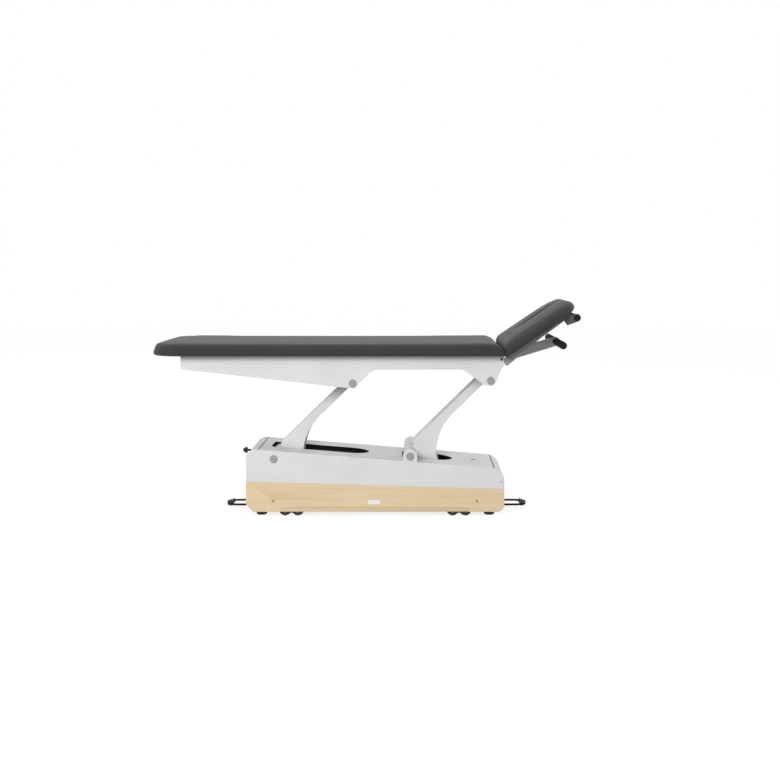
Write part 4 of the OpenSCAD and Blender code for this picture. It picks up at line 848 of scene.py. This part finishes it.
# Air pressure under the cover for a short while, with the underside held: the foam then fills
# the cover. No point moves more than the cap.
def inflate(piece, held, values):
    rest = np.zeros(len(piece.data.vertices) * 3)
    piece.data.vertices.foreach_get("co", rest)
    rest = rest.reshape(-1, 3)
    group = piece.vertex_groups.new(name="held")
    group.add(np.flatnonzero(held).tolist(), 1.0, "ADD")
    cloth = piece.modifiers.new("cloth", "CLOTH")
    cloth.settings.vertex_group_mass = group.name
    cloth.settings.quality = values["quality"]
    cloth.settings.mass = values["mass"]
    cloth.settings.tension_stiffness = values["stretch"]
    cloth.settings.compression_stiffness = values["stretch"]
    cloth.settings.shear_stiffness = values["shear"]
    cloth.settings.bending_stiffness = values["bend"]
    cloth.settings.use_pressure = True
    cloth.settings.uniform_pressure_force = values["pressure"]
    cloth.settings.effector_weights.gravity = 0.0
    cloth.collision_settings.use_collision = False
    cloth.point_cache.frame_start = 1
    cloth.point_cache.frame_end = values["frames"]
    for number in range(1, values["frames"] + 1):
        scene.frame_set(number)
    graph = bpy.context.evaluated_depsgraph_get()
    blown = np.zeros_like(rest).ravel()
    piece.evaluated_get(graph).data.vertices.foreach_get("co", blown)
    piece.modifiers.remove(cloth)
    piece.vertex_groups.remove(group)
    scene.frame_set(1)
    move = blown.reshape(-1, 3) - rest
    size = np.linalg.norm(move, axis=1, keepdims=True)
    cap = values["cap"]
    move *= cap * np.tanh(size / cap) / np.maximum(size, 1e-9)
    piece.data.vertices.foreach_set("co", (rest + move).ravel())
    piece.data.update()
    print(piece.name, "filled: most", round(float(size.max()) * 1000, 2), "mm before the cap")


def makePad(name, pad, node, seed, place):
    points, rings, part, share = padSurface(pad)
    loosenCover(points, rings, part, share, seed, coverPlay)
    rows, columns = points.shape[:2]
    piece = newPiece(name, points, gridFaces(rows, columns, pad["slot"] is not None), upholstery)
    mergePoints(piece, 2e-5)
    spots = np.zeros(len(piece.data.vertices) * 3)
    piece.data.vertices.foreach_get("co", spots)
    x, y, z = spots.reshape(-1, 3).T
    held = z < coverFill["heldUnder"]
    if pad["slot"]:
        slot = pad["slot"]
        held |= (np.abs(y) < slot["width"]) & (x > slot["start"]) & (
            x < slot["start"] + slot["length"])
    inflate(piece, held, coverFill)
    piece.data.transform(place)
    smooth(piece, 60)
    finer = piece.modifiers.new("finer", "SUBSURF")
    finer.levels = finer.render_levels = 1
    takeOver(piece, node)
    return piece


mainPlace = Matrix.Translation((0, 0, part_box("main_cushion")[0].z))
sectionPlace = Matrix.Translation(hinge) @ Matrix.Rotation(-sectionTilt, 4, "Y")
headPlace = sectionPlace @ Matrix.Translation((0, 0, -0.005))
makePad("mainPad", mainPad, "main_cushion", 11, mainPlace)
makePad("headPad", headPad, "head_cushion", 23, headPlace)
print("cushions made")


# Turned pieces

# A profile of radius and place along Y, carried round an axis at x and z: point = centre +
# radius (cos, sin) of the angle, with the profile's own Y. Poles close where the radius is 0.
def turnedPoints(profile, centre, count=64):
    profile = np.array(profile, float)
    angle = np.linspace(0, 2 * np.pi, count, endpoint=False)
    points = np.zeros((len(profile), count, 3))
    points[..., 0] = centre[0] + profile[:, :1] * np.cos(angle)
    points[..., 1] = profile[:, 1:2]
    points[..., 2] = centre[1] + profile[:, :1] * np.sin(angle)
    return points


# Quarter turns of radius r at both ends of a sleeve from y0 to y1, open or closed inside.
def sleeveProfile(y0, y1, outer, inner, r, steps=6):
    a = np.linspace(0, np.pi / 2, steps)
    start = np.stack([outer - r + r * np.sin(a), y0 + r - r * np.cos(a)], 1)
    end = np.stack([outer - r + r * np.cos(a), y1 - r + r * np.sin(a)], 1)
    return np.concatenate([[[inner, y0]], start, end, [[inner, y1]]])


# The same with its outer end closed by a lid.
def closedSleeve(y0, y1, outer, inner, r, lid):
    body = sleeveProfile(y0, y1, outer, inner, r)[:-1]
    return np.concatenate([body, [[0, y1], [0, y1 - lid], [inner, y1 - lid]]])


def makeSleeves(node, name, profiles, closedRows, centre, place):
    pointSets, faceSets, start = [], [], 0
    for profile in profiles:
        points = turnedPoints(profile, centre)
        pointSets.append(points.reshape(-1, 3))
        faceSets.append(gridFaces(points.shape[0], points.shape[1], closedRows) + start)
        start += len(pointSets[-1])
    piece = newPiece(name, np.concatenate(pointSets), np.concatenate(faceSets), foamSleeve)
    mergePoints(piece)
    piece.data.transform(place)
    smooth(piece)
    takeOver(piece, node)
    return piece


leverDrop = math.radians(17)  # the lever's angle under the head section
leverPlace = Matrix.Translation(jointPlace["release_lever_squeeze"]) @ Matrix.Rotation(
    leverDrop - sectionTilt, 4, "Y")
grip = {"start": 0.028, "end": 0.301, "outer": 0.0174, "inner": 0.012, "round": 0.008,
        "lid": 0.006, "centre": (0.233, -0.009)}
endBar = {"half": 0.25, "radius": 0.015, "round": 0.006, "centre": (0.399, -0.037)}
gripProfile = closedSleeve(
    grip["start"], grip["end"], grip["outer"], grip["inner"], grip["round"], grip["lid"])
makeSleeves("lever_grips", "leverGripFoam", (gripProfile, gripProfile[::-1] * [1, -1]), True,
            grip["centre"], leverPlace)
barProfile = sleeveProfile(
    -endBar["half"], endBar["half"], endBar["radius"], 0.0, endBar["round"])
makeSleeves("head_end_bar", "endBarFoam", (barProfile,), False, endBar["centre"], sectionPlace)


wheel = {
    "radius": 0.029, "width": 0.022, "inner": 0.148, "axle": 0.006, "rim": 0.019,
    "hub": 0.010, "recess": 0.003, "round": 0.004, "count": 48,
}


# Wheel in section: axle, hub, a recessed web, the rim and a tyre with round shoulders.
def wheelProfile(values):
    y0, y1 = values["inner"], values["inner"] + values["width"]
    r, e = values["radius"], values["round"]
    a = np.linspace(0, np.pi / 2, 6)
    deep = values["recess"]
    left = [[0, y0], [values["hub"], y0], [values["hub"] + 0.0008, y0 + deep],
            [values["rim"] - 0.0012, y0 + deep], [values["rim"], y0 + 0.0004]]
    shoulder0 = np.stack([r - e + e * np.sin(a), y0 + e - e * np.cos(a)], 1)
    shoulder1 = np.stack([r - e + e * np.cos(a), y1 - e + e * np.sin(a)], 1)
    right = [[radius, y0 + y1 - y] for radius, y in reversed(left)]
    return np.concatenate([left, shoulder0, shoulder1, right])


def makeWheels(node, centre):
    profile = wheelProfile(wheel)
    axle = [[0, -wheel["inner"]], [wheel["axle"], -wheel["inner"]],
            [wheel["axle"], wheel["inner"]], [0, wheel["inner"]]]
    mirrored = profile[::-1] * [1, -1]
    pointSets, faceSets, start, tyre = [], [], 0, []
    for shape in (profile, mirrored, np.array(axle)):
        points = turnedPoints(shape, centre, wheel["count"])
        faces = gridFaces(points.shape[0], points.shape[1])
        ring = np.repeat(np.arange(points.shape[0] - 1), points.shape[1])
        isTyre = (np.minimum(shape[ring, 0], shape[ring + 1, 0]) > wheel["rim"] - 0.0005)
        tyre.append(isTyre)
        pointSets.append(points.reshape(-1, 3))
        faceSets.append(faces + start)
        start += len(pointSets[-1])
    piece = newPiece(node + "Turned", np.concatenate(pointSets), np.concatenate(faceSets),
                     greyPlastic, tyreRubber)
    piece.data.polygons.foreach_set(
        "material_index", np.concatenate(tyre).astype(np.int32))
    mergePoints(piece)
    smooth(piece)
    takeOver(piece, node)


for wheelSet in ("wheels_foot_outer", "wheels_foot_inner", "wheels_head_inner",
                 "wheels_head_outer"):
    spot = jointPlace[wheelSet + "_roll"]
    makeWheels(wheelSet, (spot.x, spot.z))
print("turned pieces made")
